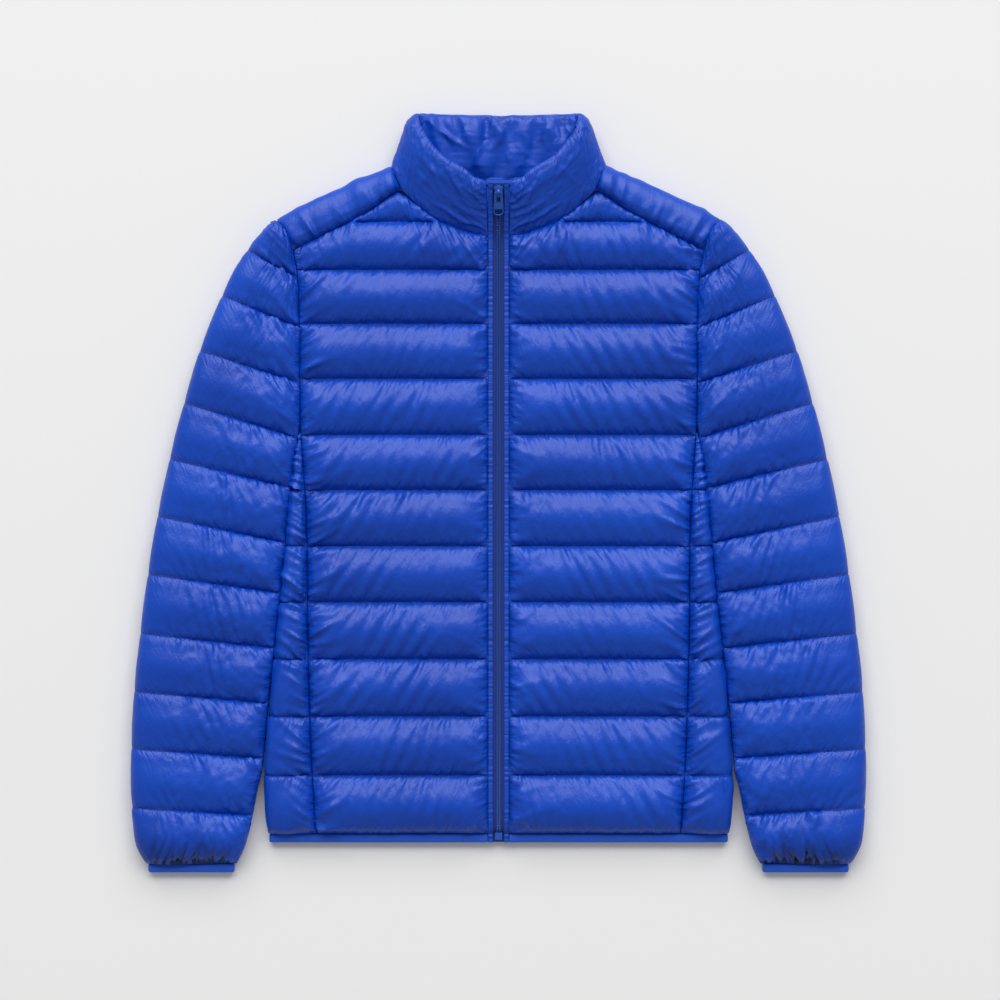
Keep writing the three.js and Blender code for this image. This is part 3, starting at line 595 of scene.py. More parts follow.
def thinning(distance):
    """The lower wall's top: thin at a bound edge, whole a little way in."""
    share = through(np.array([(0, 0.0), (6, 0.62), (21, 0.95), (40, 1.0)]), distance)
    return mix(BOUND_EDGE, LOWER_WALL, share)


def notch(share, width):
    """How far a line of quilting draws a fold in."""
    return 0.5 * (1 - puff(share)) * np.minimum(1, width / FULL_WIDTH)


def groove(share):
    """How far the quilting lifts a skin that lies on the floor: most at its lines, nothing 6 mm away."""
    away = np.minimum(share, 1 - share) * CHANNEL
    return 1.5 * np.exp(-((away / 3.0) ** 2))


def side_skin():
    """A side panel: from the side seam round the body's fold, ending half way back underneath."""
    lines = np.array([*BODY_LINES[:7], 410.0])
    channel, share = channel_rows(np.diff(lines))
    up = mix(lines[channel], lines[channel + 1], share)
    seam, fold = through(SIDE_SEAM, up), through(SIDE_FOLD, up)
    under = 0.5 * (fold - seam)
    fold = fold - notch(share, (fold - seam) * 2)
    height = CROWN * np.where(channel == 6, 0.8, 1)
    starts, ends = on_edge(SIDE_SEAM, lines), on_edge(SIDE_FOLD, lines)
    skin = folded_skin(
        np.stack([seam + SEAM_GAP, up], -1),
        np.stack([fold, up], -1),
        height,
        thinning(up - HEM_SEAM),
        30,
        under,
        pressed=groove(share),
        share=share,
    )
    near = np.minimum(skin["from_seam"], (np.minimum(share, 1 - share) * CHANNEL)[:, None])
    skin.update(side=1, bed=0.0, support=supported(near), channel=channel, lean=(0.5, 0))
    skin.update(above=CHANNEL * share[:, None] + 0 * near, below=CHANNEL * (1 - share[:, None]) + 0 * near)
    skin["lively"] = skin["over"] * 1.0
    at = up[:, None] + 0 * near
    skin["seams"] = [(at, skin["from_seam"], 6.5, 13.0, 2.4, (0.6, 0.6))]
    skin["by_seam"] = (at, skin["from_seam"])
    skin["fences"] += fences_between(starts, ends, channel)
    return skin


def sleeve_skin():
    """A sleeve, folded along its outer edge. Its rows slant from the inner edge to the fold."""
    outer_up, inner_up = SLEEVE_LINES.T
    channel, share = channel_rows(-0.5 * np.diff(outer_up + inner_up))
    fold_up = mix(outer_up[channel], outer_up[channel + 1], share)
    seam_up = mix(inner_up[channel], inner_up[channel + 1], share)

    def inner_edge(up):
        hangs = through(SLEEVE_INNER, up) - 0.9 * np.clip((up - 120) / 80, 0, 1)
        return np.where(up > UNDERARM, through(SIDE_SEAM, up) + SEAM_GAP, hangs)

    seam = np.stack([inner_edge(seam_up), seam_up], -1)
    fold = on_edge(SLEEVE_OUTER, fold_up)
    whole = length(fold - seam)
    way = (fold - seam) / whole[:, None]
    fold = fold - way * notch(share, whole)[:, None]
    sewn_up = np.clip((UNDERARM - seam_up + 2) / 24, 0, 1)
    starts = np.stack([inner_edge(inner_up), inner_up], -1)
    ends = on_edge(SLEEVE_OUTER, outer_up)
    lower = thinning(seam_up - CUFF_SEAM)
    skin = folded_skin(
        seam,
        fold,
        CROWN * 1.06 * np.ones(len(share)),
        lower,
        84,
        0.0,
        lip=mix(STITCHED, 3.6, sewn_up) + 1.6 * np.clip((seam_up - 592) / 20, 0, 1),
        heel=0.7 * sewn_up * lower,
        pressed=groove(share),
        share=share,
    )
    near = np.minimum(skin["from_seam"], (np.minimum(share, 1 - share) * CHANNEL)[:, None])
    skin.update(side=-1, bed=0.0, support=supported(near), channel=channel, lean=(-0.9, -0.3))
    skin.update(below=CHANNEL * share[:, None] + 0 * near, above=CHANNEL * (1 - share[:, None]) + 0 * near)
    at = seam_up[:, None] + 0 * near
    from_cuff = (seam_up - CUFF_SEAM)[:, None] + 0 * near
    on_top = skin["over"] * (1 - np.clip((skin["along"] / skin["width"] - 0.8) / 0.15, 0, 1))
    skin["seams"] = [
        (at, skin["from_seam"], 9.0, 20.0, 0.5 + 0.6 * np.clip((at - 300) / 100, 0, 1), (0.7, 0.7)),
        (at, skin["from_seam"], 6.0, 7.0, 1.0, (0.3, 0.3)),
    ]
    skin["pleats"] = [
        (skin["along"], from_cuff, 6.5, 8.0, 4.2, (0.3, -0.3), on_top),
        (skin["along"], from_cuff, 13.0, 14.0, 3.0, (0.4, -0.4), on_top),
    ]
    # Painted shade: the sleeve's colour is darkened towards the cuff, where its pleats gather.
    skin["shaded"] = 0.9 * np.exp(-((from_cuff / 30) ** 2))
    skin["by_seam"] = (at, skin["from_seam"])
    skin["fences"] += fences_between(starts, ends, channel)
    skin["lively"] = 2.0 * skin["lively"]
    return skin


def yoke_skin():
    """A yoke: from the front's top edge over the shoulder's fold to a seam half way back underneath."""
    rows = 78
    along = np.linspace(0, 1, rows)
    knots = (YOKE[:, 0] - YOKE[0, 0]) / (YOKE[-1, 0] - YOKE[0, 0])
    seam, fold = np.split(between_rows(YOKE, knots, along), 2, axis=-1)
    width = length(fold - seam)
    height = CROWN * (0.15 + 0.5 * close_in(np.minimum(along, 1 - along) * 118, 14))
    skin = folded_skin(seam, fold, height, np.full(rows, LOWER_WALL), 20, 0.5 * width, turned=44.0)
    place = skin["place"]
    place[..., 0] = np.minimum(place[..., 0], through(SIDE_SEAM, place[..., 1]) - SEAM_GAP)
    near = skin["from_seam"]
    skin.update(side=-1, bed=0.0, support=supported(near), channel=np.zeros(rows, int), lean=(0, 0))
    # It has no lines of quilting, so below and above keep their puckers away.
    skin.update(along=place[..., 0], below=near + 50, above=near + 50, lively=skin["over"] * 1.0)
    walked = 135 * along[:, None] + 0 * near
    skin["seams"] = [
        (walked, near, 7.0, 12.0, 1.4, (-0.3, 0.3)),
        (walked, near, 12.0, 26.0, 2.2, (-0.2, 0.3)),
        (walked, near + 8, 9.0, 14.0, 1.2, (0.3, 0.3)),
    ]
    skin["by_seam"] = (walked, near)
    return skin


def inside_of(skin):
    """The plain inside of a folded skin, as points from its end under the fold back to its seam."""
    width, plane, lower = skin["width"][:, 0], skin["plane"][:, 0], skin["lower"][:, 0]
    seam, end = skin["place"][:, 0, :2], skin["place"][:, -1, :2]
    fold = skin["place"][:, skin["folded"], :2]
    way = (fold - seam) / length(fold - seam)[:, None]
    wall = (width - 10 * np.minimum(1, width / FULL_WIDTH))[:, None]
    corner = seam + way * wall
    flat = [end, corner, corner, seam]
    levels = [lower, lower, plane, plane]
    return np.stack([np.column_stack([f, z]) for f, z in zip(flat, levels)], 1)


# Finishes

def new_material(name):
    """A material, its nodes' tree, its shader, and the coordinates of the piece that it is on."""
    made = bpy.data.materials.new(name)
    made.use_nodes = True
    tree = made.node_tree
    return made, tree, tree.nodes["Principled BSDF"], tree.nodes.new("ShaderNodeTexCoord").outputs["Object"]


def add_node(tree, kind, settings=(), **inputs):
    """A node with its settings. Its inputs, named with _ for a space, are linked to sockets or set to numbers."""
    node = tree.nodes.new("ShaderNode" + kind)
    for name, value in settings:
        setattr(node, name, value)
    for name, value in inputs.items():
        feed(tree, node.inputs[name.replace("_", " ")], value)
    return node


def feed(tree, socket, value):
    if isinstance(value, bpy.types.NodeSocket):
        tree.links.new(value, socket)
    else:
        socket.default_value = value


def maths(tree, operation, first, second):
    """A Math node on sockets or plain numbers; its result."""
    node = add_node(tree, "Math", [("operation", operation)])
    feed(tree, node.inputs[0], first)
    feed(tree, node.inputs[1], second)
    return node.outputs[0]


def noise(tree, vector, scale, detail=3.0, distortion=0.0):
    """A noise texture read at a vector; its factor."""
    return add_node(tree, "TexNoise", Scale=scale, Detail=detail, Distortion=distortion, Vector=vector).outputs["Fac"]


def record(tree, name):
    """A piece's own record of a seam or of its folds."""
    return add_node(tree, "Attribute", [("attribute_name", name)]).outputs["Vector"]


def stretched(tree, name, scale):
    """A piece's own record, each of its numbers times a scale."""
    stretch = add_node(tree, "VectorMath", [("operation", "MULTIPLY")], Vector=record(tree, name))
    stretch.inputs[1].default_value = scale
    return stretch.outputs[0]


def relief(tree, shader, height, strength, distance):
    """Raises a surface by a height, through its shader's normal."""
    bump = add_node(tree, "Bump", Strength=strength, Distance=distance, Height=height)
    tree.links.new(bump.outputs["Normal"], shader.inputs["Normal"])


def seam_gathers(tree, name, reach, tall):
    """Fine gathers that run away from a seam and die out over a reach, from the piece's own record of it."""
    away = add_node(tree, "SeparateXYZ", Vector=record(tree, name)).outputs["Y"]
    smooth = [("interpolation_type", "SMOOTHSTEP")]
    fade = add_node(tree, "MapRange", smooth, From_Max=reach, To_Min=1.0, To_Max=0.0, Value=away).outputs["Result"]
    gathers = maths(tree, "MULTIPLY", noise(tree, stretched(tree, name, GATHERS), 1.0, 2.0, 0.4), fade)
    return maths(tree, "MULTIPLY", gathers, tall)


# How the nylon's colour is darkened in its folds, as painted shade: from the first height, in millimetres, to the
# second, it takes a share of its colour from the third to the fourth.
FOLD_SHADE = {"From_Min": -3.5, "From_Max": 0.0, "To_Min": 0.3, "To_Max": 1.0}
# How many gathers and streaks there are to a millimetre along a seam, away from it, and across a channel.
GATHERS = (0.27, 0.08, 0.02)
STREAKS = (0.2, 0.0, 0.055)
BANDS_A_UNIT = 3.2  # how many bands a wave texture of scale one has to a metre


def shell_nylon(name, deep, light, rough=0.38):
    """Light shiny nylon. Its colour drifts a little between a deep and a light blue, and is darkened in its folds by
    painted shade. It is crumpled finely all over, and gathered along its lines of quilting and its seams."""
    made, tree, shader, where = new_material(name)
    ramp = add_node(tree, "ValToRGB", Fac=noise(tree, where, 9.0))
    for element, position, colour in zip(ramp.color_ramp.elements, (0.3, 0.7), (deep, light)):
        element.position, element.color = position, (*colour, 1)
    # Painted shade: the colour is darkened where the piece's record of its folds is low, in the hollows of its folds.
    folds = add_node(tree, "SeparateXYZ", Vector=record(tree, "folds")).outputs["X"]
    shade = add_node(tree, "MapRange", Value=folds, **FOLD_SHADE).outputs["Result"]
    tinted = add_node(tree, "VectorMath", [("operation", "SCALE")], Vector=ramp.outputs["Color"], Scale=shade)
    tree.links.new(tinted.outputs["Vector"], shader.inputs["Base Color"])
    height = maths(tree, "MULTIPLY", noise(tree, where, 230.0, 4.0, 1.2), 0.4)
    streaks = noise(tree, stretched(tree, "by_line", STREAKS), 1.0, 3.0, 0.8)
    height = maths(tree, "ADD", height, maths(tree, "MULTIPLY", streaks, 0.7))
    height = maths(tree, "ADD", height, seam_gathers(tree, "by_line", 16.0, 2.6))
    height = maths(tree, "ADD", height, seam_gathers(tree, "by_seam", 15.0, 3.0))
    relief(tree, shader, height, 0.6, 0.0012)
    shader.inputs["Roughness"].default_value = rough
    shader.inputs["Specular IOR Level"].default_value = 0.35
    return made


def woven(name, colour, dark, pitch, rough=0.75, sheen=0.2):
    """Woven tape: fine ribs both ways in colour and in relief."""
    made, tree, shader, where = new_material(name)
    scale = 1000 / pitch / BANDS_A_UNIT
    ribs = [
        add_node(tree, "TexWave", [("bands_direction", axis)], Scale=scale, Distortion=0.4, Vector=where)
        for axis in ("X", "Y")
    ]
    both = maths(tree, "MULTIPLY", *(rib.outputs["Fac"] for rib in ribs))
    tint = add_node(tree, "Mix", [("data_type", "RGBA")], A=(*dark, 1), B=(*colour, 1), Factor=both)
    tree.links.new(tint.outputs["Result"], shader.inputs["Base Color"])
    relief(tree, shader, both, 0.5, 0.0003)
    shader.inputs["Roughness"].default_value = rough
    shader.inputs["Sheen Weight"].default_value = sheen
    return made


def painted(name, colour, rough, metal=0.0):
    """Paint with a faint mottle in its gloss."""
    made, tree, shader, where = new_material(name)
    mottle = noise(tree, where, 600.0, 2.0)
    gloss = add_node(tree, "MapRange", Value=mottle, To_Min=rough - 0.06, To_Max=rough + 0.06)
    tree.links.new(gloss.outputs["Result"], shader.inputs["Roughness"])
    shader.inputs["Base Color"].default_value = (*colour, 1)
    shader.inputs["Metallic"].default_value = metal
    return made


BLUES = (0.001, 0.049, 0.42), (0.002, 0.063, 0.50)
NYLON = shell_nylon("shell nylon", *BLUES)
EDGING = shell_nylon("folded nylon edging", *BLUES, 0.45)
BINDING = woven("edge binding", (0.008, 0.125, 0.78), (0.005, 0.085, 0.60), 0.8, sheen=0.05)
ZIP_CLOTH = woven("zip tape cloth", (0.006, 0.045, 0.30), (0.003, 0.026, 0.20), 0.7)
COIL = painted("nylon coil", (0.014, 0.085, 0.46), 0.32)
HARDWARE = painted("painted zip metal", (0.02, 0.10, 0.48), 0.28, 0.25)
THREAD = painted("sewing thread", (0.006, 0.05, 0.36), 0.8)
TOPSTITCH = painted("zip topstitching", (0.03, 0.12, 0.58), 0.6)


# Padded pieces

def round_ring(side, rise, sides):
    """A ring of points one away round each point of a path, from the two directions across it there."""
    turn = (np.arange(sides) * 2 * np.pi / sides)[None, :, None]
    return np.cos(turn) * side[:, None] + np.sin(turn) * rise[:, None]


def sewn_thread(name, lines, material):
    """Stitches along lines: an array of (start, end) pairs, each a slim four-sided bead pointed at both ends."""
    start, end = lines[:, 0], lines[:, 1]
    way = (end - start) / length(end - start)[:, None]
    side = np.stack([-way[:, 1], way[:, 0], 0 * way[:, 0]], -1)
    side /= length(side)[:, None]
    rise = np.cross(way, side)
    sides, stations = 4, [(0.0, 0.12), (0.5, 0.38), (1.0, 0.12)]
    turned = round_ring(side, rise, sides)
    rings = [(start + (end - start) * share)[:, None] + size * turned for share, size in stations]
    points = np.stack(rings, 1)
    bead = tube_faces(len(stations), sides)
    faces = [[k + len(stations) * sides * n for k in face] for n in range(len(points)) for face in bead]
    return piece(name, points, faces, material)


def stitches_along(path, pitch=3.4, mark=2.4):
    """Stitch starts and ends at even steps along a path of points."""
    walked = np.concatenate([[0], np.cumsum(length(np.diff(path, axis=0)))])
    starts = np.arange(0.5, walked[-1] - mark, pitch)
    ends = starts + mark
    return np.stack([np.stack([np.interp(s, walked, path[:, k]) for k in range(3)], -1) for s in (starts, ends)], 1)


made = {}
thread_lines, topstitch_lines = [], []


def add_quilted(name, skin, left, seed, ring_end, **cloth):
    """A padded piece: its filled skin, closed by the plain points of its inside."""
    surface = filled(skin, seed, **cloth)
    if name.startswith("front"):
        skin, surface = finer_columns(skin, surface)
    surface, raised = creased(skin, surface, np.random.default_rng(seed + 100))
    rings = mirrored(np.concatenate([surface, ring_end(skin)], 1), left)
    made[name] = tube(name, rings, NYLON)
    across = skin["below"] + 200.0 * skin["channel"][:, None]
    leaning = skin["along"] - 0.5 * sum(skin["lean"]) * skin["below"]
    note(made[name], "by_line", leaning, np.minimum(skin["below"], skin["above"]), rings.shape[1], across)
    note(made[name], "by_seam", *skin["by_seam"], rings.shape[1])
    # Each point's raised height, less any painted shade the skin asks for, is recorded for the nylon's painted shade
    # in its folds.
    note(made[name], "folds", raised - skin.get("shaded", 0), 0 * raised, rings.shape[1])
    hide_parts(name)


def front_inside(skin):
    """The plain inside of a front: straight across, from its side seam to the zip."""
    place = skin["place"]
    ends = place[:, [-1, 0]].copy()
    ends[..., 2] = (skin["bed"] - 1.5)[:, [-1, 0]]
    return ends


def sleeve_inside(skin):
    """A sleeve has no plain inside to show: its ring closes up its inner edge."""
    place = skin["place"]
    return 0.5 * (place[:, :1] + place[:, -1:])


FRONT, SIDE, SLEEVE, YOKE_SKIN = front_skin(), side_skin(), sleeve_skin(), yoke_skin()
for left in (True, False):
    hand = "left" if left else "right"
    seed = 11 if left else 23
    add_quilted(f"front_{hand}", FRONT, left, seed, front_inside, gather=0.018, slant=(0.03, 0.05))
    add_quilted(f"side_panel_{hand}", SIDE, left, seed + 1, inside_of)
    add_quilted(f"sleeve_{hand}", SLEEVE, left, seed + 2, sleeve_inside, gather=0.02, slant=(0.06, 0.02))
    add_quilted(f"yoke_{hand}", YOKE_SKIN, left, seed + 3, inside_of, gather=0.02, slant=(0.04, -0.04))
    # Its lines of stitches lie where a whole row is sewn, as far as each skin shows.
    for skin, shown in ((FRONT, None), (SIDE, 40), (SLEEVE, 96)):
        for row in np.flatnonzero(skin["sewn"][:, 5])[1:-1]:
            lines = stitches_along(mirrored(skin["place"][row, :shown], left))
            thread_lines.append(lines + np.array([0, 0, 0.25]))


# Collar

def collar_rows(count):
    """The collar's rows from zip to zip, by the smooth curves through its table, mirrored about the centre back."""
    knots = np.arange(len(COLLAR), dtype=float)
    at = np.linspace(0, len(COLLAR) - 1, count)
    half = between_rows(COLLAR, knots, at)
    flip = half[1:][::-1] * np.array([-1, 1, 1, 1, -1, 1, 1, 1])
    return np.concatenate([flip, half])


def collar_skin(fine):
    """The collar's skin: up its inner face, over its rolled free edge and down its outer face. fine is how many
    cells take the place of one on that way."""
    base, base_thick, top, thick = np.split(collar_rows(201), (3, 4, 7), axis=-1)
    rise = top - base
    height = length(rise)[:, None]
    middle = 0.5 * (base + top)
    run = np.gradient(middle, axis=0)
    inwards = np.cross(run, rise)
    inwards /= length(inwards)[:, None]
    in_front = np.clip((base[:, 2:] - 8) / 8, 0, 1)
    up = np.linspace(0, 1, 30 * fine + 1)[None]
    shoulder = 1 - thick * mix(0.6, 1.3, in_front) / height
    along_face = mix(-1.4 / height, shoulder, up)
    half_face = 0.5 * mix(base_thick, thick, close_in(np.maximum(along_face, 0) * height, 40))
    turn = np.linspace(0, np.pi, 14 * fine + 1)[None, 1:-1]
    along_roll = shoulder + (1 - shoulder) * np.sin(turn)
    half_roll = 0.5 * thick * np.cos(turn)
    along = np.concatenate([along_face, along_roll, along_face[:, ::-1]], 1)
    offset = np.concatenate([half_face, half_roll, -half_face[:, ::-1]], 1)
    place = base[:, None] + rise[:, None] * along[..., None] + inwards[:, None] * offset[..., None]
    place[..., 2] = np.maximum(place[..., 2], 0)
    sewn = np.zeros(along.shape, bool)
    sewn[:, 0] = sewn[:, -1] = sewn[0] = sewn[-1] = True
    support = supported(along * height, 0.02, 0.004, 14)
    # Its threads are gathered along its length, so the grid is turned to have that across.
    place, sewn, support = place.transpose(1, 0, 2), sewn.T, support.T
    out = outward(place, 1)
    side = np.sign((out * (place - place.mean(0))).sum())
    walked = np.cumsum(length(np.diff(middle, axis=0, prepend=middle[:1])))[None] + np.zeros_like(support)
    from_edge = ((1 - along) * height).T
    # It has no lines of quilting, so below and above keep their puckers far away.
    skin = {"place": place, "sewn": sewn, "side": side, "bed": 0.0, "fences": [], "along": walked, "lean": (0, 0)}
    skin.update(channel=np.zeros(len(support), int), lively=np.ones_like(support))
    skin.update(below=from_edge + FAR, above=from_edge + FAR)
    from_end = np.minimum(walked, walked.max() - walked)
    across = (along * height).T
    skin["by_seam"] = (walked, np.minimum(from_edge, across))
    # The back half's inner face, which shows, is gathered into deep folds, and the rest only a little.
    facing = outward(place, side)[..., 2]
    inner = (base[:, 2] < 10)[None] & (facing > 0.3)
    outer = (facing > 0.1) & ~inner
    skin["gather"] = np.where(inner, 0.05, 0.02)
    skin["support"] = np.where(inner, 0.002, support)
    skin["inner"] = inner
    # Its folds are flat where the neck tape is sewn over them.
    inner = inner * np.clip((across - 5) / 12, 0, 1)
    low = np.maximum(from_edge - 6, 0)
    skin["seams"] = [
        (walked, across, 8.0, 12.0, 0.9 * outer, (0.3, -0.3)),
        (across, from_end, 6.5, 14.0, 1.1, (0.4, 0.4)),
        (walked, from_edge, 15.0, 38.0, 2.9 * inner, (0.9, -0.6)),
        (walked, from_edge, 19.0, 26.0, 2.4 * inner, (-0.6, 0.9)),
        (walked, low, 5.0, 6.0, 0.5 * outer, (1.2, -1.2)),
        (walked, low, 11.0, 14.0, 1.0 * outer, (-1.2, 1.2)),
    ]
    skin["crinkled"] = 0.12 * inner + 0.3 * outer * np.exp(-(((from_edge - 13) / 5) ** 2))
    # The rolls' ends turn down beside the zip, and a curved crease marks each. Others fan out from the neck seam.
    one_side = [
        ([(25, 661), (22.5, 648), (18.5, 640), (9, 638)], 2.0, 1.5),
        ([(20, 659), (17, 650), (13, 646)], 1.2, 1.2),
        ([(88, 664), (84, 685), (82, 708)], 0.5, 4.0),
        ([(84, 655), (70, 664), (60, 676)], 0.7, 3.0),
        ([(70, 642), (52, 634), (36, 622), (24, 619)], 1.1, 2.2),
        ([(12, 616), (30, 621), (52, 633)], 1.1, 1.8),
        ([(13, 624), (30, 630), (48, 643)], 1.0, 2.0),
        ([(14, 632), (28, 637), (40, 646)], 0.8, 1.8),
        ([(80, 690), (66, 672), (48, 660)], 1.0, 3.0),
        ([(46, 662), (34, 650), (28, 640)], 0.9, 2.2),
    ]
    skin["creases"] = [(path, tall, wide, outer) for path, tall, wide in one_side]
    skin["creases"] += [([(-x - 1, y - 1) for x, y in path], tall, wide, outer) for path, tall, wide in one_side]
    # The back half's folds hang from its free edge, all different.
    hanging = [
        ([(-4, 721), (-10, 704), (-13, 692)], 2.2, 1.7),
        ([(5, 717), (0, 702), (-9, 690)], 2.4, 1.8),
        ([(-16, 697), (-22, 684), (-28, 672)], 2.0, 1.8),
        ([(-75, 725), (-58, 711), (-43, 701), (-30, 693)], 2.6, 2.2),
        ([(-63, 724), (-53, 709), (-41, 693)], 2.2, 1.8),
        ([(-36, 723), (-33, 708), (-40, 695)], 1.8, 1.8),
        ([(29, 724), (25, 708), (33, 695)], 1.8, 2.0),
        ([(50, 720), (45, 703), (50, 691)], 2.2, 1.7),
        ([(58, 718), (60, 704), (58, 691)], 2.0, 1.6),
        ([(67, 721), (69, 708), (64, 697)], 2.0, 1.6),
        ([(7, 690), (13, 678)], 1.4, 1.4),
        ([(18, 700), (26, 688), (23, 677)], 1.4, 2.0),
    ]
    skin["creases"] += [(path, tall, wide, inner) for path, tall, wide in hanging]
    return skin


collar_cloth = collar_skin(1)
collar_place = filled(collar_cloth, 5, gather=collar_cloth["gather"], slack=0.02, slant=(0.0, 0.0))
collar_cloth = collar_skin(2)
collar_place = twice_as_fine(collar_place, 0)
collar_place, collar_folds = creased(collar_cloth, collar_place, np.random.default_rng(6))
collar_place = collar_place.transpose(1, 0, 2)
made["collar"] = tube("collar", collar_place, NYLON)
# The back half's inner face lies in the shade of the rest, and that shade is painted: its colour is darkened all over,
# and the painted shade in the collar's folds is made stronger.
note(made["collar"], "folds", (1.3 * collar_folds - 1.1 * collar_cloth["inner"]).T, 0.0, collar_place.shape[1])
note(made["collar"], "by_seam", *(part.T for part in collar_cloth["by_seam"]), collar_place.shape[1])
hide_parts("collar")


# Back

def back_rings():
    """The back: rows up from the hem with a flat underside that its quilting lifts a little, and a plain top."""
    lines = np.array([*BODY_LINES, LAST_BODY_LINE, 659.0])
    channel, share = channel_rows(np.diff(lines))
    up = mix(lines[channel], lines[channel + 1], share)
    seam, fold = through(SIDE_SEAM, up), through(SIDE_FOLD, up)
    yoke_back = 0.5 * (YOKE[1:, :2] + YOKE[1:, 2:])[::-1][:, ::-1]
    edge = np.where(up < 396, 0.5 * (seam + fold), seam) - 0.5
    edge = np.where(up > 606.7, np.minimum(seam - 0.5, through(yoke_back, up + 1.3) - 0.5), edge)
    out = edge[:, None] * np.linspace(-1, 1, 25)[None]
    back = out[:, ::-6]
    under = np.stack(np.broadcast_arrays(out, up[:, None], groove(share)[:, None]), -1)
    top = np.stack(np.broadcast_arrays(back, up[:, None], thinning(up - HEM_SEAM)[:, None]), -1)
    return np.concatenate([under, top], 1)


made["back"] = tube("back", back_rings(), NYLON)
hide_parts("back")


# Edges

def ring_of_rings(rows, columns):
    """The faces of rows of closed rings whose last is joined to the first."""
    return [[k % (rows * columns) for k in face] for face in tube_faces(rows + 1, columns, ends=False)]


def band(name, path, low_up, high_up, thick, material, closed, ripple=0.25):
    """A folded binding: a strip carried along a path of (out, z), with small gathers. Its section is between an
    oval and a rectangle: the sine and the cosine of each turn, to the power of 0.6."""
    ahead = np.roll(path, -1, axis=0) - np.roll(path, 1, axis=0) if closed else np.gradient(path, axis=0)
    ahead /= length(ahead)[:, None]
    out = np.stack([ahead[:, 1], -ahead[:, 0]], -1)
    walked = np.cumsum(length(np.diff(path, axis=0, prepend=path[:1])))
    wave = ripple * (np.sin(walked / 1.9) + 0.7 * np.sin(walked / 3.1 + 1))
    turn = np.linspace(0, 2 * np.pi, 17)[:-1]
    rise, depth = (np.sign(part) * np.abs(part) ** 0.6 for part in (np.cos(turn), np.sin(turn)))
    up = 0.5 * (high_up + low_up) + 0.5 * (high_up - low_up) * rise
    bulge = np.clip(0.5 * (thick + wave[:, None]) * depth, -0.5 * thick, 0.5 * thick)
    flat = path[:, None] + out[:, None] * bulge[..., None]
    rings = np.stack([flat[..., 0], np.broadcast_to(up, flat[..., 0].shape), flat[..., 1]], -1)
    return piece(name, rings, ring_of_rings(*rings.shape[:2]), material) if closed else tube(name, rings, material)


def folded_path(near, far, level, closed):
    """A path of (out, z) round a flattened tube: along its top, round a fold, back underneath and round again."""
    radius = 0.5 * (BOUND_EDGE + GAP)
    turn = np.linspace(0, np.pi, 13)[1:-1]
    right = np.stack([far - radius + radius * np.sin(turn), level + radius * np.cos(turn)], -1)
    left = np.stack([near + radius - radius * np.sin(turn), level - radius * np.cos(turn)], -1)
    span = np.arange(near + radius, far - radius, 1.1)
    top = np.stack([span, 0 * span + level + radius], -1)
    under = np.stack([span[::-1], 0 * span + level - radius], -1)
    if closed:
        return np.concatenate([top, right, under, left])
    start = top[top[:, 0] > ZIP_HALF]
    end = top[top[:, 0] < -ZIP_HALF]
    return np.concatenate([start, right, under, left, end])


level = BOUND_EDGE + 0.5 * GAP
hem_path = folded_path(-230 + 2.15, 230 - 2.15, level, False)
made["hem_binding"] = band("hem_binding", hem_path, 0.0, BINDING_HEIGHT, BOUND_EDGE, BINDING, False)
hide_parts("hem_binding")
for left in (True, False):
    name = "cuff_binding_" + ("left" if left else "right")
    path = folded_path(264.3 + 2.15, 351.3 - 2.15, level, True) * np.array([1 if left else -1, 1])
    made[name] = band(name, path, -30.0, -21.5, BOUND_EDGE, BINDING, True, 0.35)
    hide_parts(name)


# Zip

def zip_rise(up):
    """How far the zip has climbed with the collar: level up to the neck seam, then at the collar's slope, with a
    smooth bend between."""
    past = up - NECK_BASE
    return np.tan(COLLAR_SLOPE) * (past + np.hypot(past, 5)) / 2


def zip_plane(up):
    """The height of the tape's underside."""
    return thinning(up - HEM_SEAM) + GAP + np.where(up > 560, zip_rise(up), 0)


def zip_strip(name, left, out_points, z_points, from_up, to_up, material, step=1.0):
    """A strip of the zip: a closed outline of (out, z above the tape's underside) carried up along it."""
    up = np.append(np.arange(from_up, to_up, step), to_up)
    out, z = np.array(out_points, float), np.array(z_points, float)
    ripple = 0.22 * (np.sin(up / 0.83) + 0.8 * np.sin(up / 1.27 + 2))[:, None] * (z > 2.5)[None]
    z = zip_plane(up)[:, None] + z[None] + np.minimum(ripple, 0)
    rings = np.stack(np.broadcast_arrays(out, up[:, None], z), -1)
    strip = tube(name, mirrored(rings, left), material, 50)
    note(strip, "by_seam", up[:, None], 2 + 0 * out[None], len(out))
    return strip


def rounded(low_out, high_out, low, high, corner, far_corner=None):
    """A rectangle's outline with rounded upper corners, of two radii where both are given."""
    turn = np.linspace(0, np.pi / 2, 5)
    sharp = far_corner or corner
    right = (high_out - sharp + sharp * np.sin(turn), high - sharp + sharp * np.cos(turn))
    far = (low_out + corner - corner * np.cos(turn), high - corner + corner * np.sin(turn))
    out = np.concatenate([[low_out], far[0], right[0], [high_out]])
    z = np.concatenate([[low], far[1], right[1], [low]])
    return out, z


def coil(name, left, from_up, to_up):
    """A zip's coil: a thread wound in flat turns round an oval, a turn for each tooth."""
    pitch, steps = 2.5, 8
    turns = int((to_up - from_up) / pitch)
    angle = np.arange(turns * steps + 1) * 2 * np.pi / steps
    up = from_up + 0.4 + pitch * angle / (2 * np.pi)
    core = np.stack([1.45 + 0.82 * np.cos(angle), up, zip_plane(up) + 2.2 + 0.42 * np.sin(angle)], -1)
    ahead = np.gradient(core, axis=0)
    ahead /= length(ahead)[:, None]
    side = np.cross(ahead, np.array([0.0, 1.0, 0.0]))
    side /= length(side)[:, None]
    rise = np.cross(side, ahead)
    return tube(name, mirrored(core[:, None] + 0.48 * round_ring(side, rise, 4), left), COIL)


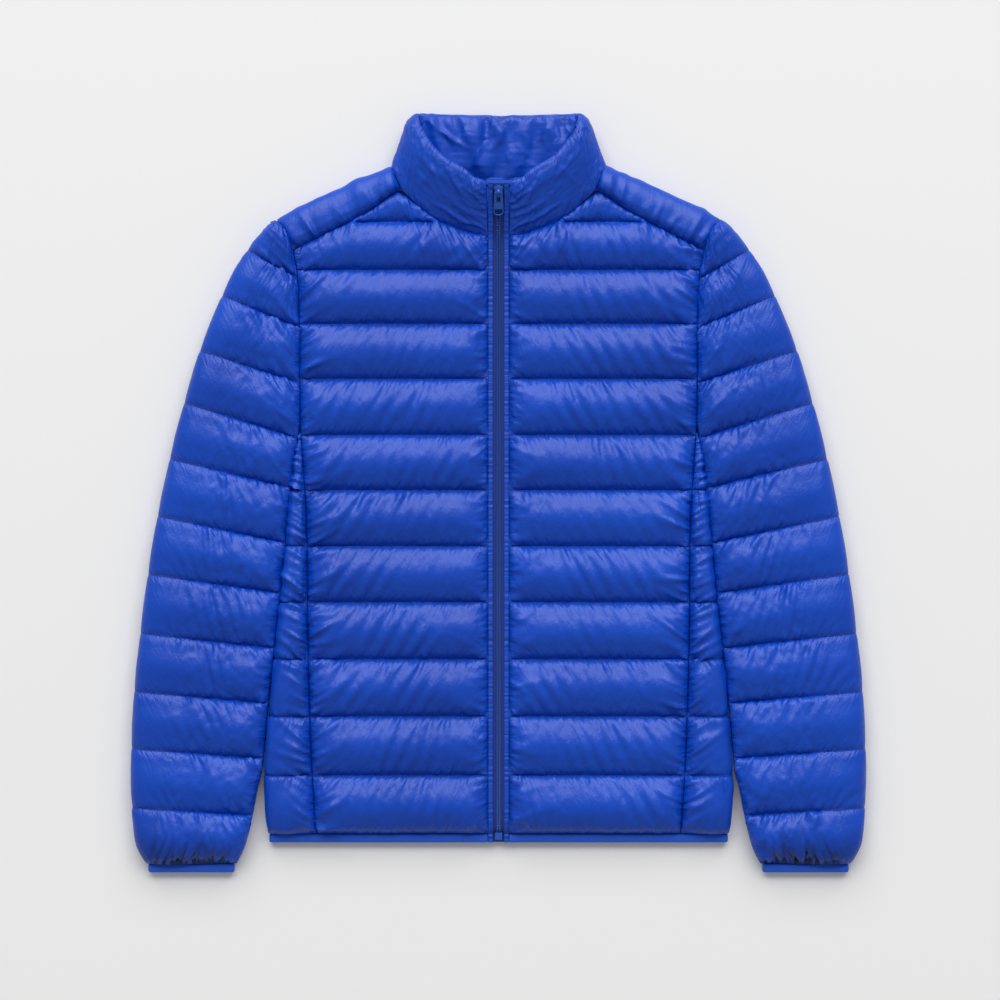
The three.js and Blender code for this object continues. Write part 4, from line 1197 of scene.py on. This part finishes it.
def softened(name, width, material):
    """A hard piece's own shape with its corners rounded off."""
    node = frame["nodes"][name]
    copied = node.data.copy()
    merged = bmesh.new()
    merged.from_mesh(copied)
    bmesh.ops.remove_doubles(merged, verts=merged.verts, dist=1e-6)
    merged.to_mesh(copied)
    merged.free()
    copied.materials.clear()
    copied.materials.append(material)
    copied.shade_smooth()
    copied.set_sharp_from_angle(angle=np.radians(35))
    new = bpy.data.objects.new(name + "_finished", copied)
    bpy.context.scene.collection.objects.link(new)
    edge = new.modifiers.new("rounded edges", "BEVEL")
    edge.width = width
    edge.segments = 2
    edge.angle_limit = np.radians(40)
    made[name] = new
    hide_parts(name)


for left in (True, False):
    hand = "left" if left else "right"
    strips = {
        "placket": (*rounded(5.4, 10.2, 1.3, 4.2, 1.1, 0.2), 0.0, ZIP_TOP, EDGING),
        "zip_tape": (*rounded(0.15, 10.2, 0.0, 1.0, 0.3), 0.4, ZIP_TOP, ZIP_CLOTH),
    }
    for kind, (out, z, low, high, material) in strips.items():
        name = f"{kind}_{hand}"
        made[name] = zip_strip(name, left, out, z, low, high, material)
        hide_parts(name)
    name = f"zip_chain_{hand}"
    made[name] = coil(name, left, 10.5, ZIP_TOP - 1)
    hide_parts(name)
    up = np.arange(9.0, ZIP_TOP - 1, 1.0)
    path = np.stack([0 * up + 8.6, up, zip_plane(up) + 4.25], -1)
    topstitch_lines.append(stitches_along(mirrored(path, left), 2.6, 1.9))

softened("zip_box", 0.0004, HARDWARE)
softened("zip_slider", 0.0003, HARDWARE)


def pull_points(flat):
    """Points on the pull, from (out, down from its hinge, above its middle): it hangs down the collar's slope, and
    leans a little more than that."""
    slope = COLLAR_SLOPE + np.radians(4)
    down = np.array([0, -np.cos(slope), -np.sin(slope)])
    above = np.array([0, -np.sin(slope), np.cos(slope)])
    hinge = np.array([0, 648.02, 36.75])
    return hinge + flat[..., :1] * np.array([1, 0, 0]) + flat[..., 1:2] * down + flat[..., 2:] * above


def pull_parts():
    """The zip's pull: a round rim all the way round it, two rails beside its slot, and a plate above its hole."""
    turn = np.linspace(0, np.pi, 25)
    foot = np.stack([4.6 * np.cos(turn), 20.6 + 3.6 * np.sin(turn)], -1)
    side = np.stack([np.linspace(3.5, 4.6, 20), np.linspace(1.0, 20.6, 20)], -1)[:-1]
    corner = np.array([(2.5, 0.0), (3.1, 0.2), (3.4, 0.6)])
    half = np.concatenate([corner, side])
    path = np.concatenate([half, foot, half[::-1] * np.array([-1, 1])])
    ahead = np.roll(path, -1, axis=0) - np.roll(path, 1, axis=0)
    sideways = np.stack([ahead[:, 1], -ahead[:, 0]], -1) / length(ahead)[:, None]
    around = np.arange(10) * 2 * np.pi / 10
    flat = path[:, None] + 0.72 * np.cos(around)[None, :, None] * sideways[:, None]
    rim = np.concatenate([flat, np.broadcast_to(0.78 * np.sin(around)[:, None], (*flat.shape[:2], 1))], -1)
    points, faces = rim.reshape(-1, 3), ring_of_rings(*rim.shape[:2])
    plates = [
        [(1.9, 0.4), (3.6, 0.4), (3.9, 10.6), (1.9, 10.6)],
        [(-3.6, 0.4), (-1.9, 0.4), (-1.9, 10.6), (-3.9, 10.6)],
        [(-4.1, 10.4), (4.1, 10.4), (4.4, 17.9), (-4.4, 17.9)],
    ]
    for corners in plates:
        faces += [[k + len(points) for k in face] for face in tube_faces(2, 4)]
        points = np.concatenate([points, [(x, y, z) for z in (-0.5, 0.5) for x, y in corners]])
    return pull_points(points), faces


made["zip_pull"] = piece("zip_pull", *pull_parts(), HARDWARE, 40)
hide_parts("zip_pull")

tape_out, tape_up = np.linspace(-74, 74, 75)[:, None], (658.6, 665.4, 665.4, 658.6)
tape_z = (12.4, 12.4, 13.4, 13.4)
made["neck_tape"] = tube("neck_tape", np.stack(np.broadcast_arrays(tape_out, tape_up, tape_z), -1), BINDING)
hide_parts("neck_tape")

neck_stitch = np.array([(-73, 0, 13.6), (73, 0, 13.6)])
for up in (660.2, 664.0):
    topstitch_lines.append(stitches_along(neck_stitch + np.array([0, up, 0]), 2.6, 1.9))
made["quilting_thread"] = sewn_thread("quilting_thread", np.concatenate(thread_lines), THREAD)
made["zip_topstitching"] = sewn_thread("zip_topstitching", np.concatenate(topstitch_lines), TOPSTITCH)

for name, new in made.items():
    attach(new, "pull" if name == "zip_pull" else "jacket")


# Studio

def softbox(name, place, aim, size, power):
    """A soft light of a given size, aimed at a point."""
    light = bpy.data.lights.new(name, "AREA")
    light.shape = "RECTANGLE"
    light.size, light.size_y = size
    light.energy = power
    lamp = bpy.data.objects.new(name, light)
    way = np.array(aim, float) - np.array(place, float)
    lamp.location = place
    lamp.rotation_euler = (np.arctan2(np.hypot(way[0], way[1]), -way[2]), 0, np.arctan2(way[0], -way[1]) + np.pi)
    bpy.context.scene.collection.objects.link(lamp)


def floor():
    """A wide pale floor just under the jacket."""
    mesh = bpy.data.meshes.new("floor")
    far, low = 6, -0.0005
    mesh.from_pydata([(-far, -far, low), (far, -far, low), (far, far, low), (-far, far, low)], [], [(0, 1, 2, 3)])
    made_floor = bpy.data.objects.new("floor", mesh)
    bpy.context.scene.collection.objects.link(made_floor)
    paint, _, shader, _ = new_material("pale floor")
    shader.inputs["Base Color"].default_value = (0.84, 0.84, 0.84, 1)
    shader.inputs["Roughness"].default_value = 0.9
    mesh.materials.append(paint)


floor()
softbox("window", (0.0, 8.8, 7.2), (0, 0.0, 0), (15.0, 8.4), 1700)
world = bpy.data.worlds.new("studio")
bpy.context.scene.world = world
world.use_nodes = True
glow = world.node_tree.nodes["Background"].inputs
glow["Color"].default_value, glow["Strength"].default_value = (1, 1, 1, 1), 0.37
bpy.context.scene.view_settings.view_transform = "Standard"

lens = bpy.data.cameras.new("camera")
lens.lens = 100
lens.sensor_width = 36
lens.clip_end = 20
camera = bpy.data.objects.new("camera", lens)
camera.location = (0.0015, -0.007, 2.79)
bpy.context.scene.collection.objects.link(camera)
bpy.context.scene.camera = camera
